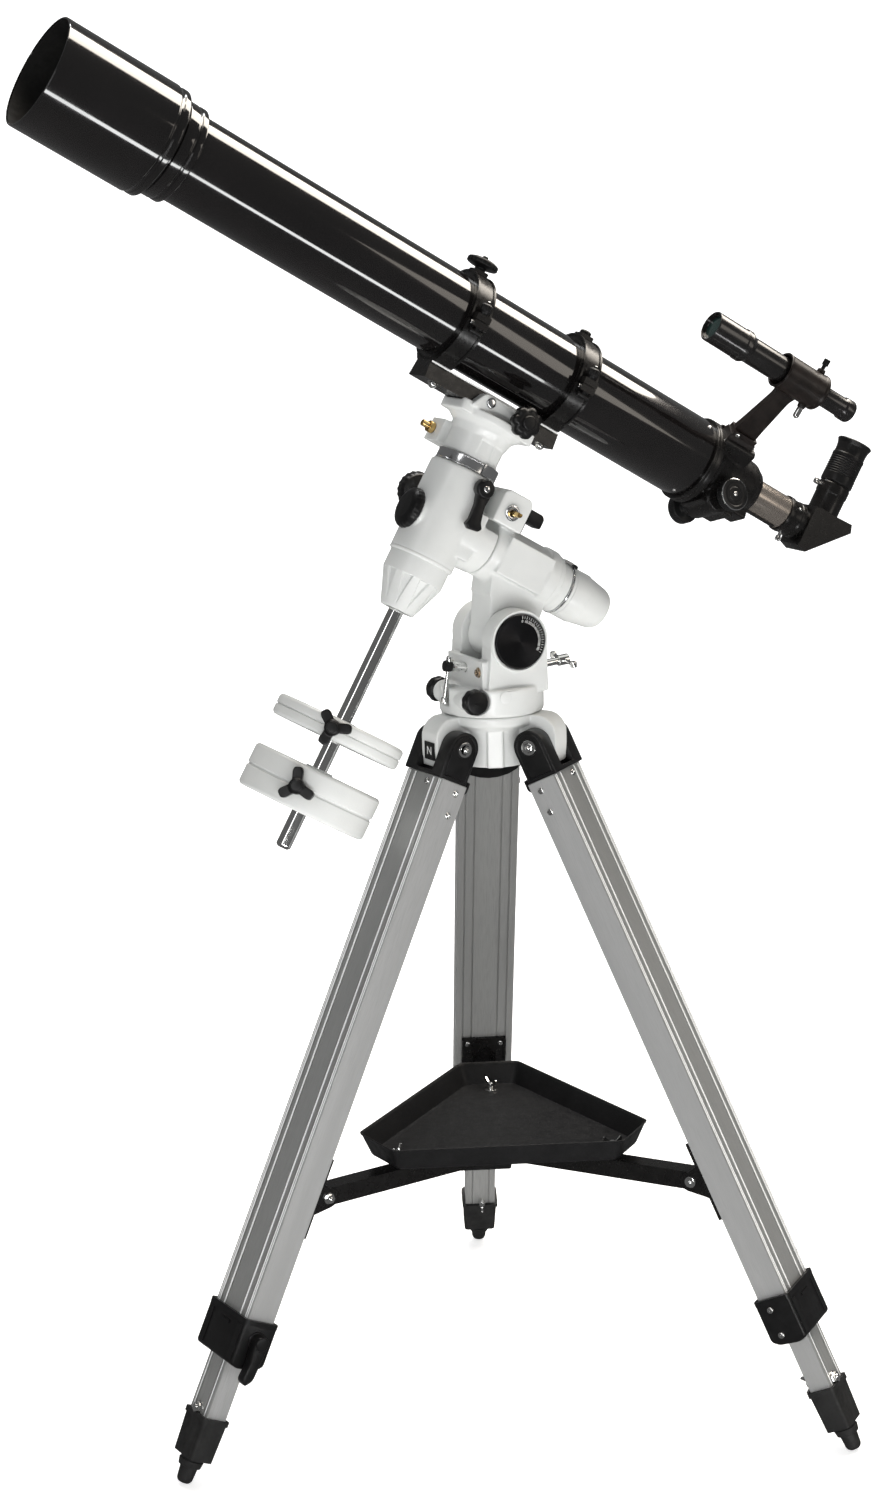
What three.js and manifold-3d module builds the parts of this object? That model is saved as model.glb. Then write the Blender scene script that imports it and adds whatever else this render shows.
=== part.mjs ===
// Refracting telescope on a German equatorial mount and a three-legged aluminium tripod.
// Millimetres, +Z up. The origin is on the floor at the middle of the overall length.
// The north leg points along -X, and the mount points its polar axis up to the north.
import * as THREE from 'three';
import { mergeVertices } from 'three/addons/utils/BufferGeometryUtils.js';
import Module from 'manifold-3d';

// ---------------------------------------------------------------- driving dimensions
const GAP = 0.3;              // running gap between neighbouring pieces
const ROUND = 28;             // facets round a large cylinder
const MEDIUM = 20;
const SMALL = 14;

// tripod
const TRIPOD_X = 9.8;         // the azimuth axis stands this far south of the origin
const LEG_ANGLES = [180, -60, 60];
const LEG_NAMES = ['north', 'right', 'left'];
const LEG_LEAN = 25.6;        // degrees from the vertical
const LEG_HINGE_R = 58;
const LEG_HINGE_Z = 812;
const LEG_OFFSET = 9.4;       // the extrusion stands this far outside the hinge bolt
const LEG_W = 75;
const LEG_D = 37;
const LEG_WALL = 2;
const LEG_TOP = 30;           // distances down the leg from the hinge bolt
const CLAMP_TOP = 693;
const UPPER_END = 716;
const CLAMP_END = 752;
const CLAMP_W = 84;
const CLAMP_D = 46;
const LOWER_W = 40;
const LOWER_D = 28;
const LOWER_START = 250;
const LOWER_END = 834;
const FOOT_SHOULDER = 872;
const FOOT_END = 908;
const HUB_TOP = 861.5;
const HUB_R = 60;
const LOBE_W = 33;
const BOLT_X = 13;             // hinge bolt in the leg frame
const BOLT_Z = 10;
const CHEEK_R = 20;

// spreader and accessory tray
const ARM_PIVOT_R = 256;
const ARM_PIVOT_Z = 309;
const ARM_W = 24;
const ARM_H = 22;
const TRAY_RIM_Z = 358;
const TRAY_FLOOR_Z = 331;
const TRAY_CORNER_R = 181;
const TRAY_CORNER_HALF = 38;
const TRAY_FLARE = 12;
const SHEET = 2;

// mount: azimuth base and the latitude frame that tilts in it
const AZIMUTH_TURN = -7.6;    // degrees, the mount's north against the north leg
const LATITUDE = 30.2;
const ALT_X = 11.7;
const ALT_Z = 949;
const BASE_R = 62;
const BASE_TOP = 895;
const EAR_R = 37;
const EAR_OUT = 52;
const EAR_IN = 27;
const TONGUE_HALF = 26;
const TONGUE_R = 29.5;
const LUG_HALF = 8;           // the latitude bolts bear on this lug under the tongue

// latitude frame: x runs down the polar axis, z up the declination axis
const POLAR_Z = 82;
const RA_R = 35;
const RA_FRONT = -72;
const RA_REAR = 43;
const DEC_X = -136;
const DEC_R = 39;
const DEC_BOTTOM = 36;
const DEC_TOP = 150;
const SADDLE_BASE = 163;
const SADDLE_TOP = 218;
const WORM_Z = 129;
const WORM_X = -73;
const WORM_KNOB_Y = 222;
const DEC_WORM_Y = 40;
const DEC_WORM_Z = 181;

// counterweights
const SHAFT_R = 9;
const SHAFT_END = -336;
const WEIGHT_R = 79;
const SMALL_TOP = -174;
const SMALL_END = -199;
const LARGE_TOP = -237;
const LARGE_END = -289;
const SMALL_TURN = -31;        // degrees that each weight has turned about the shaft
const LARGE_TURN = -36;

// optical tube
const TUBE_Z = 297;
const TUBE_R = 50;
const TUBE_FRONT = -604;
const TUBE_REAR = 130;
const CELL_R = 56;
const CELL_FRONT = -632;
const DEW_R = 64;
const DEW_FRONT = -785;
const DEW_WALL = 2;
const BAR_FRONT = -242;
const BAR_REAR = -54;
const BAR_TOP = 239.4;
const BAR_BOTTOM = 219;
const RING_FRONT_X = -228;
const RING_REAR_X = -70;
const RING_W = 25;
const RING_R = 57;
const SPLIT_GAP = 0.6;

// focuser, diagonal, eyepiece and finder
const FOCUS_X = 173;
const FOCUS_DROP = 38;         // pinion below the tube axis
const FOCUSER_TURN = -17;     // degrees, the focuser is turned in the tube end
const FOCUS_KNOB_R = 18;
const HOUSING_REAR = 226;
const DRAW_R = 21.5;
const DRAW_REAR = 281;
const DIAG_R = 19;
const EYE_X = 337;
const FINDER_Y = -100;
const FINDER_Z = 127;
const FINDER_FRONT = 22;
const FINDER_REAR = 245;

// ---------------------------------------------------------------- finishes
const finish = (color, roughness, metalness) => {
  return new THREE.MeshStandardMaterial({ color, roughness, metalness });
};
const GLOSS_BLACK = finish('#121212', 0.18, 0.1);
const SATIN_BLACK = finish('#1b1b1c', 0.45, 0.1);
const BLACK_PLASTIC = finish('#202022', 0.55, 0);
const RUBBER = finish('#161616', 0.85, 0);
const WHITE_CAST = finish('#e6e7e5', 0.45, 0.05);
const ALUMINIUM = finish('#9a9c9e', 0.4, 0.9);
const CHROME = finish('#d4d6d8', 0.12, 1);
const SILVER = finish('#c9cacb', 0.25, 1);
const PEARL = finish('#b6ada4', 0.3, 0.8);
const GLASS = finish('#7f9bb0', 0.05, 0.1);

// ---------------------------------------------------------------- solids
const wasm = await Module();
wasm.setup();

// A closed three.js geometry as a solid that can be joined and cut.
function solid(geometry) {
  const bare = geometry.clone();
  bare.deleteAttribute('normal');
  bare.deleteAttribute('uv');
  const merged = mergeVertices(bare, 1e-4);
  const index = merged.index.array;
  const triVerts = [];
  for (let i = 0; i < index.length; i += 3) {
    const [a, b, c] = [index[i], index[i + 1], index[i + 2]];
    if (a !== b && b !== c && c !== a) triVerts.push(a, b, c);
  }
  const vertProperties = merged.attributes.position.array;
  const mesh = new wasm.Mesh({ numProp: 3, vertProperties, triVerts: Uint32Array.from(triVerts) });
  return new wasm.Manifold(mesh);
}

// The solid back as a three.js geometry.
function geometryOf(body) {
  const mesh = body.getMesh();
  const geometry = new THREE.BufferGeometry();
  geometry.setAttribute('position', new THREE.Float32BufferAttribute(mesh.vertProperties, 3));
  geometry.setIndex(Array.from(mesh.triVerts));
  geometry.computeVertexNormals();
  return geometry;
}

const union = (...bodies) => bodies.reduce((sum, body) => sum.add(body));
const cut = (body, ...tools) => tools.reduce((rest, tool) => rest.subtract(tool), body);
const radians = THREE.MathUtils.degToRad;

// A block between two corners.
function block(x0, x1, y0, y1, z0, z1) {
  const geometry = new THREE.BoxGeometry(x1 - x0, y1 - y0, z1 - z0);
  geometry.translate((x0 + x1) / 2, (y0 + y1) / 2, (z0 + z1) / 2);
  return solid(geometry);
}

// Turns a shape made about +Z so that its axis runs along the named axis.
function aim(geometry, axis) {
  if (axis === 'x') geometry.rotateY(Math.PI / 2);
  if (axis === 'y') geometry.rotateX(-Math.PI / 2);
  return geometry;
}

// A profile of [radius, distance] pairs turned about an axis through the given point.
function turned(profile, axis = 'z', at = [0, 0, 0], facets = MEDIUM) {
  const points = profile.map(([radius, height]) => new THREE.Vector2(radius, height));
  const geometry = new THREE.LatheGeometry(points, facets);
  geometry.rotateX(Math.PI / 2);
  aim(geometry, axis);
  geometry.translate(...at);
  return solid(geometry);
}

// A plain round bar from one distance to another along an axis.
function rod(radius, from, to, axis = 'z', at = [0, 0, 0], facets = MEDIUM) {
  return turned([[0, from], [radius, from], [radius, to], [0, to]], axis, at, facets);
}

// A round sleeve.
function sleeve(outer, inner, from, to, axis = 'z', at = [0, 0, 0], facets = MEDIUM) {
  return turned([[inner, from], [outer, from], [outer, to], [inner, to], [inner, from]], axis, at, facets);
}

// A drawn outline given thickness along an axis. An outline's x and y become x and z for
// axis 'y' (whose thickness runs towards -Y), and y and z for axis 'x'.
function plate(shape, from, to, axis = 'z', curveSegments = 8) {
  const geometry = new THREE.ExtrudeGeometry(shape, { depth: to - from, bevelEnabled: false, curveSegments });
  geometry.translate(0, 0, from);
  if (axis !== 'z') geometry.rotateX(Math.PI / 2);
  if (axis === 'x') geometry.rotateZ(Math.PI / 2);
  return solid(geometry);
}

function outline(points) {
  return new THREE.Shape(points.map(([x, y]) => new THREE.Vector2(x, y)));
}

// A rectangle with round corners.
function roundedRectangle(width, height, radius) {
  const [w, h] = [width / 2, height / 2];
  const shape = new THREE.Shape();
  shape.moveTo(-w + radius, -h);
  shape.lineTo(w - radius, -h);
  shape.absarc(w - radius, -h + radius, radius, -Math.PI / 2, 0, false);
  shape.absarc(w - radius, h - radius, radius, 0, Math.PI / 2, false);
  shape.absarc(-w + radius, h - radius, radius, Math.PI / 2, Math.PI, false);
  shape.absarc(-w + radius, -h + radius, radius, Math.PI, Math.PI * 1.5, false);
  return shape;
}

// A hand knob outline with round lobes between round hollows.
function lobedOutline(radius, depth, lobes, steps) {
  const points = [];
  for (let i = 0; i < steps; i += 1) {
    const angle = (i / steps) * Math.PI * 2;
    const reach = radius - depth * (0.5 - 0.5 * Math.cos(angle * lobes));
    points.push([reach * Math.cos(angle), reach * Math.sin(angle)]);
  }
  return outline(points);
}

// ---------------------------------------------------------------- assembly
const telescope = new THREE.Group();

function place(group, name, body, material) {
  const mesh = new THREE.Mesh(geometryOf(body), material);
  mesh.name = name;
  group.add(mesh);
  return mesh;
}

function frameAt(parent, position, rotation = [0, 0, 0]) {
  const group = new THREE.Group();
  group.position.set(...position);
  group.rotation.set(...rotation);
  parent.add(group);
  return group;
}

// ---------------------------------------------------------------- tripod hub
function makeHub() {
  const foot = LEG_HINGE_Z - 13;
  const core = turned([
    [16, foot], [46, foot], [46, HUB_TOP - 14], [HUB_R, HUB_TOP - 10],
    [HUB_R, HUB_TOP], [16, HUB_TOP], [16, foot],
  ], 'z', [0, 0, 0], ROUND);
  const lobeEnd = LEG_HINGE_R + 32;
  const lobes = LEG_ANGLES.map((angle) => {
    const side = new THREE.Shape();
    side.moveTo(20, LEG_HINGE_Z - 8);
    side.lineTo(lobeEnd - 2, LEG_HINGE_Z - 8);
    side.lineTo(lobeEnd, LEG_HINGE_Z + 12);
    side.absarc(lobeEnd - 24, HUB_TOP - 24.3, 24, 0, Math.PI / 2, false);
    side.lineTo(20, HUB_TOP - 0.3);
    const lobe = plate(side, -LOBE_W / 2, LOBE_W / 2, 'y', 6);
    return lobe.rotate([0, 0, angle]);
  });
  const bore = rod(16, LEG_HINGE_Z - 40, HUB_TOP + 1, 'z', [0, 0, 0], MEDIUM);
  // pockets clear the round tops of the leg cheeks on each side of every lobe
  const lean = radians(LEG_LEAN);
  const boltX = LEG_HINGE_R + BOLT_X * Math.cos(lean) - BOLT_Z * Math.sin(lean);
  const boltZ = LEG_HINGE_Z + BOLT_X * Math.sin(lean) + BOLT_Z * Math.cos(lean);
  const pocketR = CHEEK_R + 2.5;
  const pockets = LEG_ANGLES.flatMap((angle) => [-1, 1].map((side) => {
    const inner = LOBE_W / 2;
    const outer = LEG_W / 2 + 3;
    const from = side > 0 ? inner : -outer;
    const to = side > 0 ? outer : -inner;
    const pocket = rod(pocketR, from, to, 'y', [boltX, 0, boltZ], MEDIUM);
    const under = block(boltX - pocketR, 200, from, to, LEG_HINGE_Z - 60, boltZ);
    return union(pocket, under).rotate([0, 0, angle]);
  }));
  return cut(union(core, ...lobes), bore, ...pockets);
}

// ---------------------------------------------------------------- tripod legs
// Leg frame: origin on the hinge bolt, -Z down the leg, +X outwards, Y along the bolt.
function makeLegHead() {
  const side = new THREE.Shape();
  side.moveTo(BOLT_X - CHEEK_R, -LEG_TOP + GAP);
  side.lineTo(BOLT_X + CHEEK_R, -LEG_TOP + GAP);
  side.absarc(BOLT_X, BOLT_Z, CHEEK_R, 0, Math.PI, false);
  const body = plate(side, -LEG_W / 2 - 0.5, LEG_W / 2 + 0.5, 'y', 10);
  const slot = block(-60, 60, -LOBE_W / 2 - GAP, LOBE_W / 2 + GAP, -24.5, 60);
  const plug = block(
    LEG_OFFSET - LEG_D / 2 + LEG_WALL + GAP, LEG_OFFSET + LEG_D / 2 - LEG_WALL - GAP,
    -LOWER_W / 2, LOWER_W / 2, -LEG_TOP - 34, -LEG_TOP + 2,
  );
  return union(cut(body, slot), plug);
}

function makeUpperLeg() {
  const body = plate(roundedRectangle(LEG_D, LEG_W, 3), -UPPER_END, -LEG_TOP, 'z', 2);
  const cellHalf = LOWER_W / 2 + 1;
  const depth = LEG_D / 2 - LEG_WALL;
  const centre = block(-depth, depth, -cellHalf, cellHalf, -UPPER_END - 1, -LEG_TOP + 1);
  const sides = [-1, 1].map((sign) => {
    const [near, far] = [cellHalf + LEG_WALL, LEG_W / 2 - LEG_WALL];
    const [from, to] = sign > 0 ? [near, far] : [-far, -near];
    return block(-depth, depth, from, to, -UPPER_END - 1, -LEG_TOP + 1);
  });
  const grooves = [-1, 1].flatMap((face) => [-1, 1].map((sign) => {
    const x = face * (LEG_D / 2);
    const y = sign * (cellHalf + LEG_WALL / 2);
    return block(x - 0.8, x + 0.8, y - 1.2, y + 1.2, -UPPER_END - 1, -LEG_TOP + 1);
  }));
  return cut(body, centre, ...sides, ...grooves).translate([LEG_OFFSET, 0, 0]);
}

function makeLowerLeg() {
  const outer = plate(roundedRectangle(LOWER_D, LOWER_W, 2), -LOWER_END, -LOWER_START, 'z', 2);
  const inside = roundedRectangle(LOWER_D - 4, LOWER_W - 4, 1);
  const hollow = plate(inside, -LOWER_END - 1, -LOWER_START + 1, 'z', 2);
  return cut(outer, hollow).translate([LEG_OFFSET, 0, 0]);
}

function makeFoot() {
  const cap = plate(roundedRectangle(LOWER_D + 6, LOWER_W + 6, 4), -FOOT_SHOULDER, -LOWER_END + 14, 'z', 2);
  const legOutline = roundedRectangle(LOWER_D + 2 * GAP, LOWER_W + 2 * GAP, 2);
  const socket = plate(legOutline, -LOWER_END - GAP, 0, 'z', 2);
  const tip = turned([
    [0, -FOOT_END], [8, -FOOT_END], [12, -FOOT_SHOULDER - 8], [15, -FOOT_SHOULDER], [0, -FOOT_SHOULDER],
  ], 'z', [0, 0, 0], 12);
  const foot = union(cut(cap, socket), tip).translate([LEG_OFFSET, 0, 0]);
  const hingeHeight = LEG_HINGE_Z / Math.cos(radians(LEG_LEAN));
  const floor = block(-900, 900, -100, 100, -60, 0).rotate([0, LEG_LEAN, 0]).translate([0, 0, -hingeHeight]);
  return cut(foot, floor);
}

function makeClamp() {
  const body = plate(roundedRectangle(CLAMP_D, CLAMP_W, 6), -CLAMP_END, -CLAMP_TOP, 'z', 2);
  const socket = plate(roundedRectangle(LEG_D + 2 * GAP, LEG_W + 2 * GAP, 3), -UPPER_END - GAP, 0, 'z', 2);
  const passage = plate(roundedRectangle(LOWER_D + 2 * GAP, LOWER_W + 2 * GAP, 2), -CLAMP_END - 1, 0, 'z', 2);
  return cut(body, socket, passage).translate([LEG_OFFSET, 0, 0]);
}

// The cam lever hangs on the side of the clamp and turns on a pin that runs outwards.
const LEVER_PIN_Y = CLAMP_W / 2 + 7.5;
const LEVER_PIN_Z = -CLAMP_TOP - 22;
const LEVER_TURNS = { north: 0, right: 150, left: 0 };
function makeLockLever(turn) {
  const side = new THREE.Shape();
  side.moveTo(-5, -3);
  side.lineTo(-3, -20);
  side.lineTo(-4, -48);
  side.lineTo(1, -50);
  side.lineTo(9, -24);
  side.absarc(0, 0, 7, -0.3, Math.PI, false);
  const lever = plate(side, -14, 14, 'x', 5);
  return lever.rotate([turn, 0, 0]).translate([LEG_OFFSET, LEVER_PIN_Y, LEVER_PIN_Z]);
}

function makeLegs(tripod) {
  LEG_ANGLES.forEach((angle, i) => {
    const turn = frameAt(tripod, [0, 0, 0], [0, 0, radians(angle)]);
    const leg = frameAt(turn, [LEG_HINGE_R, 0, LEG_HINGE_Z], [0, -radians(LEG_LEAN), 0]);
    place(leg, `leg_head_${LEG_NAMES[i]}`, makeLegHead(), BLACK_PLASTIC);
    place(leg, `leg_upper_${LEG_NAMES[i]}`, makeUpperLeg(), ALUMINIUM);
    place(leg, `leg_lower_${LEG_NAMES[i]}`, makeLowerLeg(), ALUMINIUM);
    place(leg, `leg_foot_${LEG_NAMES[i]}`, makeFoot(), RUBBER);
    place(leg, `leg_clamp_${LEG_NAMES[i]}`, makeClamp(), BLACK_PLASTIC);
    place(leg, `leg_lock_lever_${LEG_NAMES[i]}`, makeLockLever(LEVER_TURNS[LEG_NAMES[i]]), BLACK_PLASTIC);
  });
}

// ---------------------------------------------------------------- spreader and tray
function makeSpreader() {
  const arms = LEG_ANGLES.map((angle) => {
    const [bottom, top] = [ARM_PIVOT_Z - ARM_H / 2, ARM_PIVOT_Z + ARM_H / 2];
    const arm = block(0, ARM_PIVOT_R + 9, -ARM_W / 2, ARM_W / 2, bottom, top);
    const lean = Math.tan(radians(LEG_LEAN));
    const inset = (LEG_OFFSET - LEG_D / 2) / Math.cos(radians(LEG_LEAN));
    const legInside = (z) => LEG_HINGE_R + (LEG_HINGE_Z - z) * lean + inset;
    const [low, high] = [ARM_PIVOT_Z - 34, ARM_PIVOT_Z + 56];
    const bracket = plate(outline([
      [legInside(low) - GAP - 4, low], [legInside(low) - GAP, low],
      [legInside(high) - GAP, high], [legInside(high) - GAP - 4, high],
      [legInside(high) - GAP - 4, ARM_PIVOT_Z + 16],
      [ARM_PIVOT_R - 8, ARM_PIVOT_Z + 9], [ARM_PIVOT_R - 8, ARM_PIVOT_Z - 9],
    ].map(([x, z]) => [x, z])), -LEG_W / 2 + 8, LEG_W / 2 - 8, 'y');
    return union(arm, bracket).rotate([0, 0, angle]);
  });
  const boss = rod(24, ARM_PIVOT_Z - ARM_H / 2, ARM_PIVOT_Z + ARM_H / 2, 'z', [0, 0, 0], MEDIUM);
  return union(boss, ...arms);
}

// A three-sided pan whose cut corners face the legs.
function trayOutline(cornerR, half) {
  const points = LEG_ANGLES.slice().sort((a, b) => a - b).flatMap((angle) => [-1, 1].map((sign) => {
    const turn = radians(angle);
    const [r, t] = [cornerR, sign * half];
    return [r * Math.cos(turn) - t * Math.sin(turn), r * Math.sin(turn) + t * Math.cos(turn)];
  }));
  return outline(points);
}

function flaredPan(floorR, floorHalf, rimR, rimHalf, from, to) {
  const lower = trayOutline(floorR, floorHalf).getPoints();
  const upper = trayOutline(rimR, rimHalf).getPoints();
  const cloud = [...lower.map((p) => [p.x, p.y, from]), ...upper.map((p) => [p.x, p.y, to])];
  return wasm.Manifold.hull(cloud);
}

function makeTray() {
  const floorR = TRAY_CORNER_R - TRAY_FLARE;
  const half = TRAY_CORNER_HALF;
  const pan = flaredPan(floorR, half - 6, TRAY_CORNER_R, half, TRAY_FLOOR_Z - SHEET, TRAY_RIM_Z);
  const hollowR = TRAY_CORNER_R - SHEET + 1;
  const hollow = flaredPan(floorR - SHEET, half - 7, hollowR, half - 0.5, TRAY_FLOOR_Z, TRAY_RIM_Z + 1);
  const seat = ARM_PIVOT_Z + ARM_H / 2 + GAP;
  const boss = rod(26, seat, TRAY_FLOOR_Z - SHEET / 2, 'z', [0, 0, 0], MEDIUM);
  return union(cut(pan, hollow), boss);
}

// ---------------------------------------------------------------- azimuth base and yoke
// Azimuth frame: origin on the floor under the azimuth axis, +X to the south.
const FRONT_BOLT = { z: ALT_Z - 40, rise: 9.3, length: 64, handle: 58 };
const REAR_BOLT = { z: ALT_Z - 45, rise: 5, length: 82, handle: 76 };
const AZ_KNOB_X = -46;
const AZ_KNOB_Z = 882;
const AZ_KNOB_SEAT = 40;

function makeAzimuthBase() {
  const drum = turned([
    [0, HUB_TOP + GAP], [BASE_R, HUB_TOP + GAP],
    [BASE_R, BASE_TOP - 4], [BASE_R - 4, BASE_TOP], [0, BASE_TOP],
  ], 'z', [0, 0, 0], ROUND);
  const nose = block(-BASE_R - 10, -20, -30, 30, HUB_TOP + GAP, BASE_TOP - 1);
  const ears = [-1, 1].map((side) => {
    const shape = new THREE.Shape();
    shape.moveTo(ALT_X - 44, BASE_TOP - 8);
    shape.lineTo(ALT_X + 44, BASE_TOP - 8);
    shape.lineTo(ALT_X + EAR_R, ALT_Z - 12);
    shape.absarc(ALT_X, ALT_Z, EAR_R, -0.1, Math.PI + 0.1, false);
    const ear = plate(shape, EAR_IN, EAR_OUT, 'y', 10);
    return side > 0 ? ear.mirror([0, 1, 0]) : ear;
  });
  const frontWeb = block(ALT_X - 46, ALT_X - 39, -EAR_OUT + 6, EAR_OUT - 6, BASE_TOP - 11, BASE_TOP + 33);
  const rearWeb = block(ALT_X + 41, ALT_X + 50, -EAR_OUT + 6, EAR_OUT - 6, BASE_TOP - 11, BASE_TOP + 22);
  const boltHoles = [
    boltFrame(rod(5, -100, 4, 'x', [0, 0, 0], 12), -1, FRONT_BOLT),
    boltFrame(rod(5, -4, 100, 'x', [0, 0, 0], 12), 1, REAR_BOLT),
  ];
  const handleSlot = block(-90, -44, -9, 9, BASE_TOP - 21, BASE_TOP + 1);
  const knobHoles = rod(5, -60, 60, 'y', [AZ_KNOB_X, 0, AZ_KNOB_Z], 12);
  const knobPockets = [-1, 1].map((side) => {
    const [near, far] = [side * AZ_KNOB_SEAT, side * (BASE_R + 10)];
    return rod(17.5, Math.min(near, far), Math.max(near, far), 'y', [AZ_KNOB_X, 0, AZ_KNOB_Z], SMALL);
  });
  const body = union(drum, nose, ...ears, frontWeb, rearWeb);
  return cut(body, ...boltHoles, handleSlot, knobHoles, ...knobPockets);
}

function makeAzimuthKnob(side) {
  const seat = AZ_KNOB_SEAT + GAP;
  const profile = [
    [0, 6], [4.5, 6], [4.5, seat], [13, seat], [15.5, seat + 3],
    [15.5, seat + 13], [12, seat + 17], [0, seat + 17],
  ];
  const knob = turned(profile, 'y', [AZ_KNOB_X, 0, AZ_KNOB_Z], SMALL);
  return side > 0 ? knob : knob.mirror([0, 1, 0]);
}

// Puts a bolt drawn along X from its tip on to its place beside the lug, rising outwards.
function boltFrame(body, direction, { z, rise }) {
  return body.rotate([0, -direction * rise, 0]).translate([ALT_X + direction * (LUG_HALF + 2), 0, z]);
}

// A T-handled screw that bears on the lug of the tilting head.
function makeFrontBolt() {
  const screw = rod(4.5, -FRONT_BOLT.length, 0, 'x', [0, 0, 0], 12);
  const handle = rod(2.8, -42, 9, 'z', [-FRONT_BOLT.handle, 0, 0], 10);
  return boltFrame(union(screw, handle), -1, FRONT_BOLT);
}

function makeRearBolt() {
  const screw = rod(4.5, 0, REAR_BOLT.length, 'x', [0, 0, 0], 12);
  const handle = rod(2.8, -26, 26, 'y', [REAR_BOLT.handle, 0, 0], 10);
  return boltFrame(union(screw, handle), 1, REAR_BOLT);
}

function makeScaleCap() {
  const profile = [
    [0, EAR_OUT + GAP], [33, EAR_OUT + GAP], [33, EAR_OUT + 3], [31, EAR_OUT + 4], [0, EAR_OUT + 4],
  ];
  return turned(profile, 'y', [ALT_X, 0, ALT_Z], MEDIUM).mirror([0, 1, 0]);
}

// ---------------------------------------------------------------- right ascension housing
// Head frame: origin on the altitude axis, x down the polar axis, z up the declination axis.
function makeRaHousing() {
  const barrel = turned([
    [12, RA_FRONT], [RA_R - 2, RA_FRONT], [RA_R, RA_FRONT + 3],
    [RA_R, 30], [31, RA_REAR], [12, RA_REAR], [12, RA_FRONT],
  ], 'x', [0, 0, POLAR_Z], ROUND);
  const tongue = rod(TONGUE_R, -TONGUE_HALF, TONGUE_HALF, 'y', [0, 0, 0], MEDIUM);
  const lug = block(-LUG_HALF, LUG_HALF, -12, 12, -50, -20).rotate([0, -LATITUDE, 0]);
  const neck = plate(outline([
    [-TONGUE_R, 0], [TONGUE_R, 0], [24, POLAR_Z - 22], [-58, POLAR_Z - 22],
  ]), -TONGUE_HALF, TONGUE_HALF, 'y');
  const wormBox = block(WORM_X - 19, WORM_X + 22, -35, 35, POLAR_Z, WORM_Z + 24);
  const bore = rod(12, RA_FRONT - 1, RA_REAR + 1, 'x', [0, 0, POLAR_Z], SMALL);
  const wormBore = rod(6, -60, 60, 'y', [WORM_X, 0, WORM_Z], 12);
  const turningNeck = rod(RA_R + 1, WORM_X - 30, RA_FRONT - 0.5, 'x', [0, 0, POLAR_Z], ROUND);
  return cut(union(barrel, tongue, lug, neck, wormBox), bore, wormBore, turningNeck);
}

function makeRearCap() {
  return turned([
    [0, RA_REAR + 6.6], [31, RA_REAR + 6.6], [31, RA_REAR + 30],
    [26, RA_REAR + 62], [22, RA_REAR + 66], [0, RA_REAR + 66],
  ], 'x', [0, 0, POLAR_Z], MEDIUM);
}

function makeRaCircle() {
  return sleeve(32, 14, RA_REAR + GAP, RA_REAR + 6.3, 'x', [0, 0, POLAR_Z], MEDIUM);
}

function makeRaWorm() {
  const at = [WORM_X, 0, WORM_Z];
  const shaft = rod(4.5, -54, WORM_KNOB_Y - 40, 'y', at, 12);
  const collar = rod(8, -44, -35.4, 'y', at, SMALL);
  const knob = turned([
    [0, WORM_KNOB_Y - 42], [8, WORM_KNOB_Y - 42], [10, WORM_KNOB_Y - 14],
    [22, WORM_KNOB_Y - 10], [25, WORM_KNOB_Y - 4],
    [25, WORM_KNOB_Y + 6], [20, WORM_KNOB_Y + 10], [0, WORM_KNOB_Y + 10],
  ], 'y', at, MEDIUM);
  return union(shaft, collar, knob);
}

const RA_LOCK_X = -38;
function makeRaLockLever() {
  const pivotTop = POLAR_Z + RA_R;
  const stem = rod(5, pivotTop + GAP, pivotTop + 20, 'z', [RA_LOCK_X, 0, 0], 12);
  const handle = block(RA_LOCK_X - 8, RA_LOCK_X + 22, -8, 8, pivotTop + 14, pivotTop + 31);
  return union(stem, handle);
}

// ---------------------------------------------------------------- declination housing and counterweights
function makeDecHousing() {
  const barrel = turned([
    [11, DEC_BOTTOM - 66], [19, DEC_BOTTOM - 66], [32, DEC_BOTTOM - 20],
    [37.5, DEC_BOTTOM], [DEC_R, DEC_BOTTOM + 4],
    [DEC_R + 1, DEC_TOP - 3], [DEC_R - 2, DEC_TOP], [11, DEC_TOP], [11, DEC_BOTTOM - 66],
  ], 'z', [DEC_X, 0, 0], ROUND);
  const neck = turned([
    [0, DEC_X], [RA_R, DEC_X], [RA_R, RA_FRONT - 4], [RA_R - 3, RA_FRONT - 1], [0, RA_FRONT - 1],
  ], 'x', [0, 0, POLAR_Z], MEDIUM);
  const nose = rod(25, DEC_X - 44, DEC_X, 'x', [0, 0, POLAR_Z], MEDIUM);
  const bore = rod(11, DEC_BOTTOM - 80, DEC_TOP + 1, 'z', [DEC_X, 0, 0], SMALL);
  const capSeat = rod(22, DEC_X - 50, DEC_X - 40, 'x', [0, 0, POLAR_Z], MEDIUM);
  return cut(union(barrel, neck, nose), bore, capSeat);
}

function makePolarCap() {
  const seat = DEC_X - 40 - GAP;
  return turned([
    [0, seat - 9], [25.5, seat - 9], [25.5, seat - 4.4], [21.5, seat - 4.4], [21.5, seat], [0, seat],
  ], 'x', [0, 0, POLAR_Z], MEDIUM);
}

function makeDecLockLever() {
  const near = -DEC_R - 2;
  const at = [DEC_X + 10, 0, DEC_TOP - 14];
  const boss = rod(10, near - 14, near - GAP, 'y', at, SMALL);
  const handle = block(at[0] - 6, at[0] + 6, near - 14, near - 4, at[2] - 44, at[2]);
  const tip = rod(7.5, near - 14, near - 4, 'y', [at[0], 0, at[2] - 44], SMALL);
  return union(boss, handle, tip);
}

function makeShaft() {
  return turned([
    [0, SHAFT_END], [SHAFT_R - 1, SHAFT_END], [SHAFT_R, SHAFT_END + 1], [SHAFT_R, 30], [0, 30],
  ], 'z', [DEC_X, 0, 0], SMALL);
}

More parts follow.
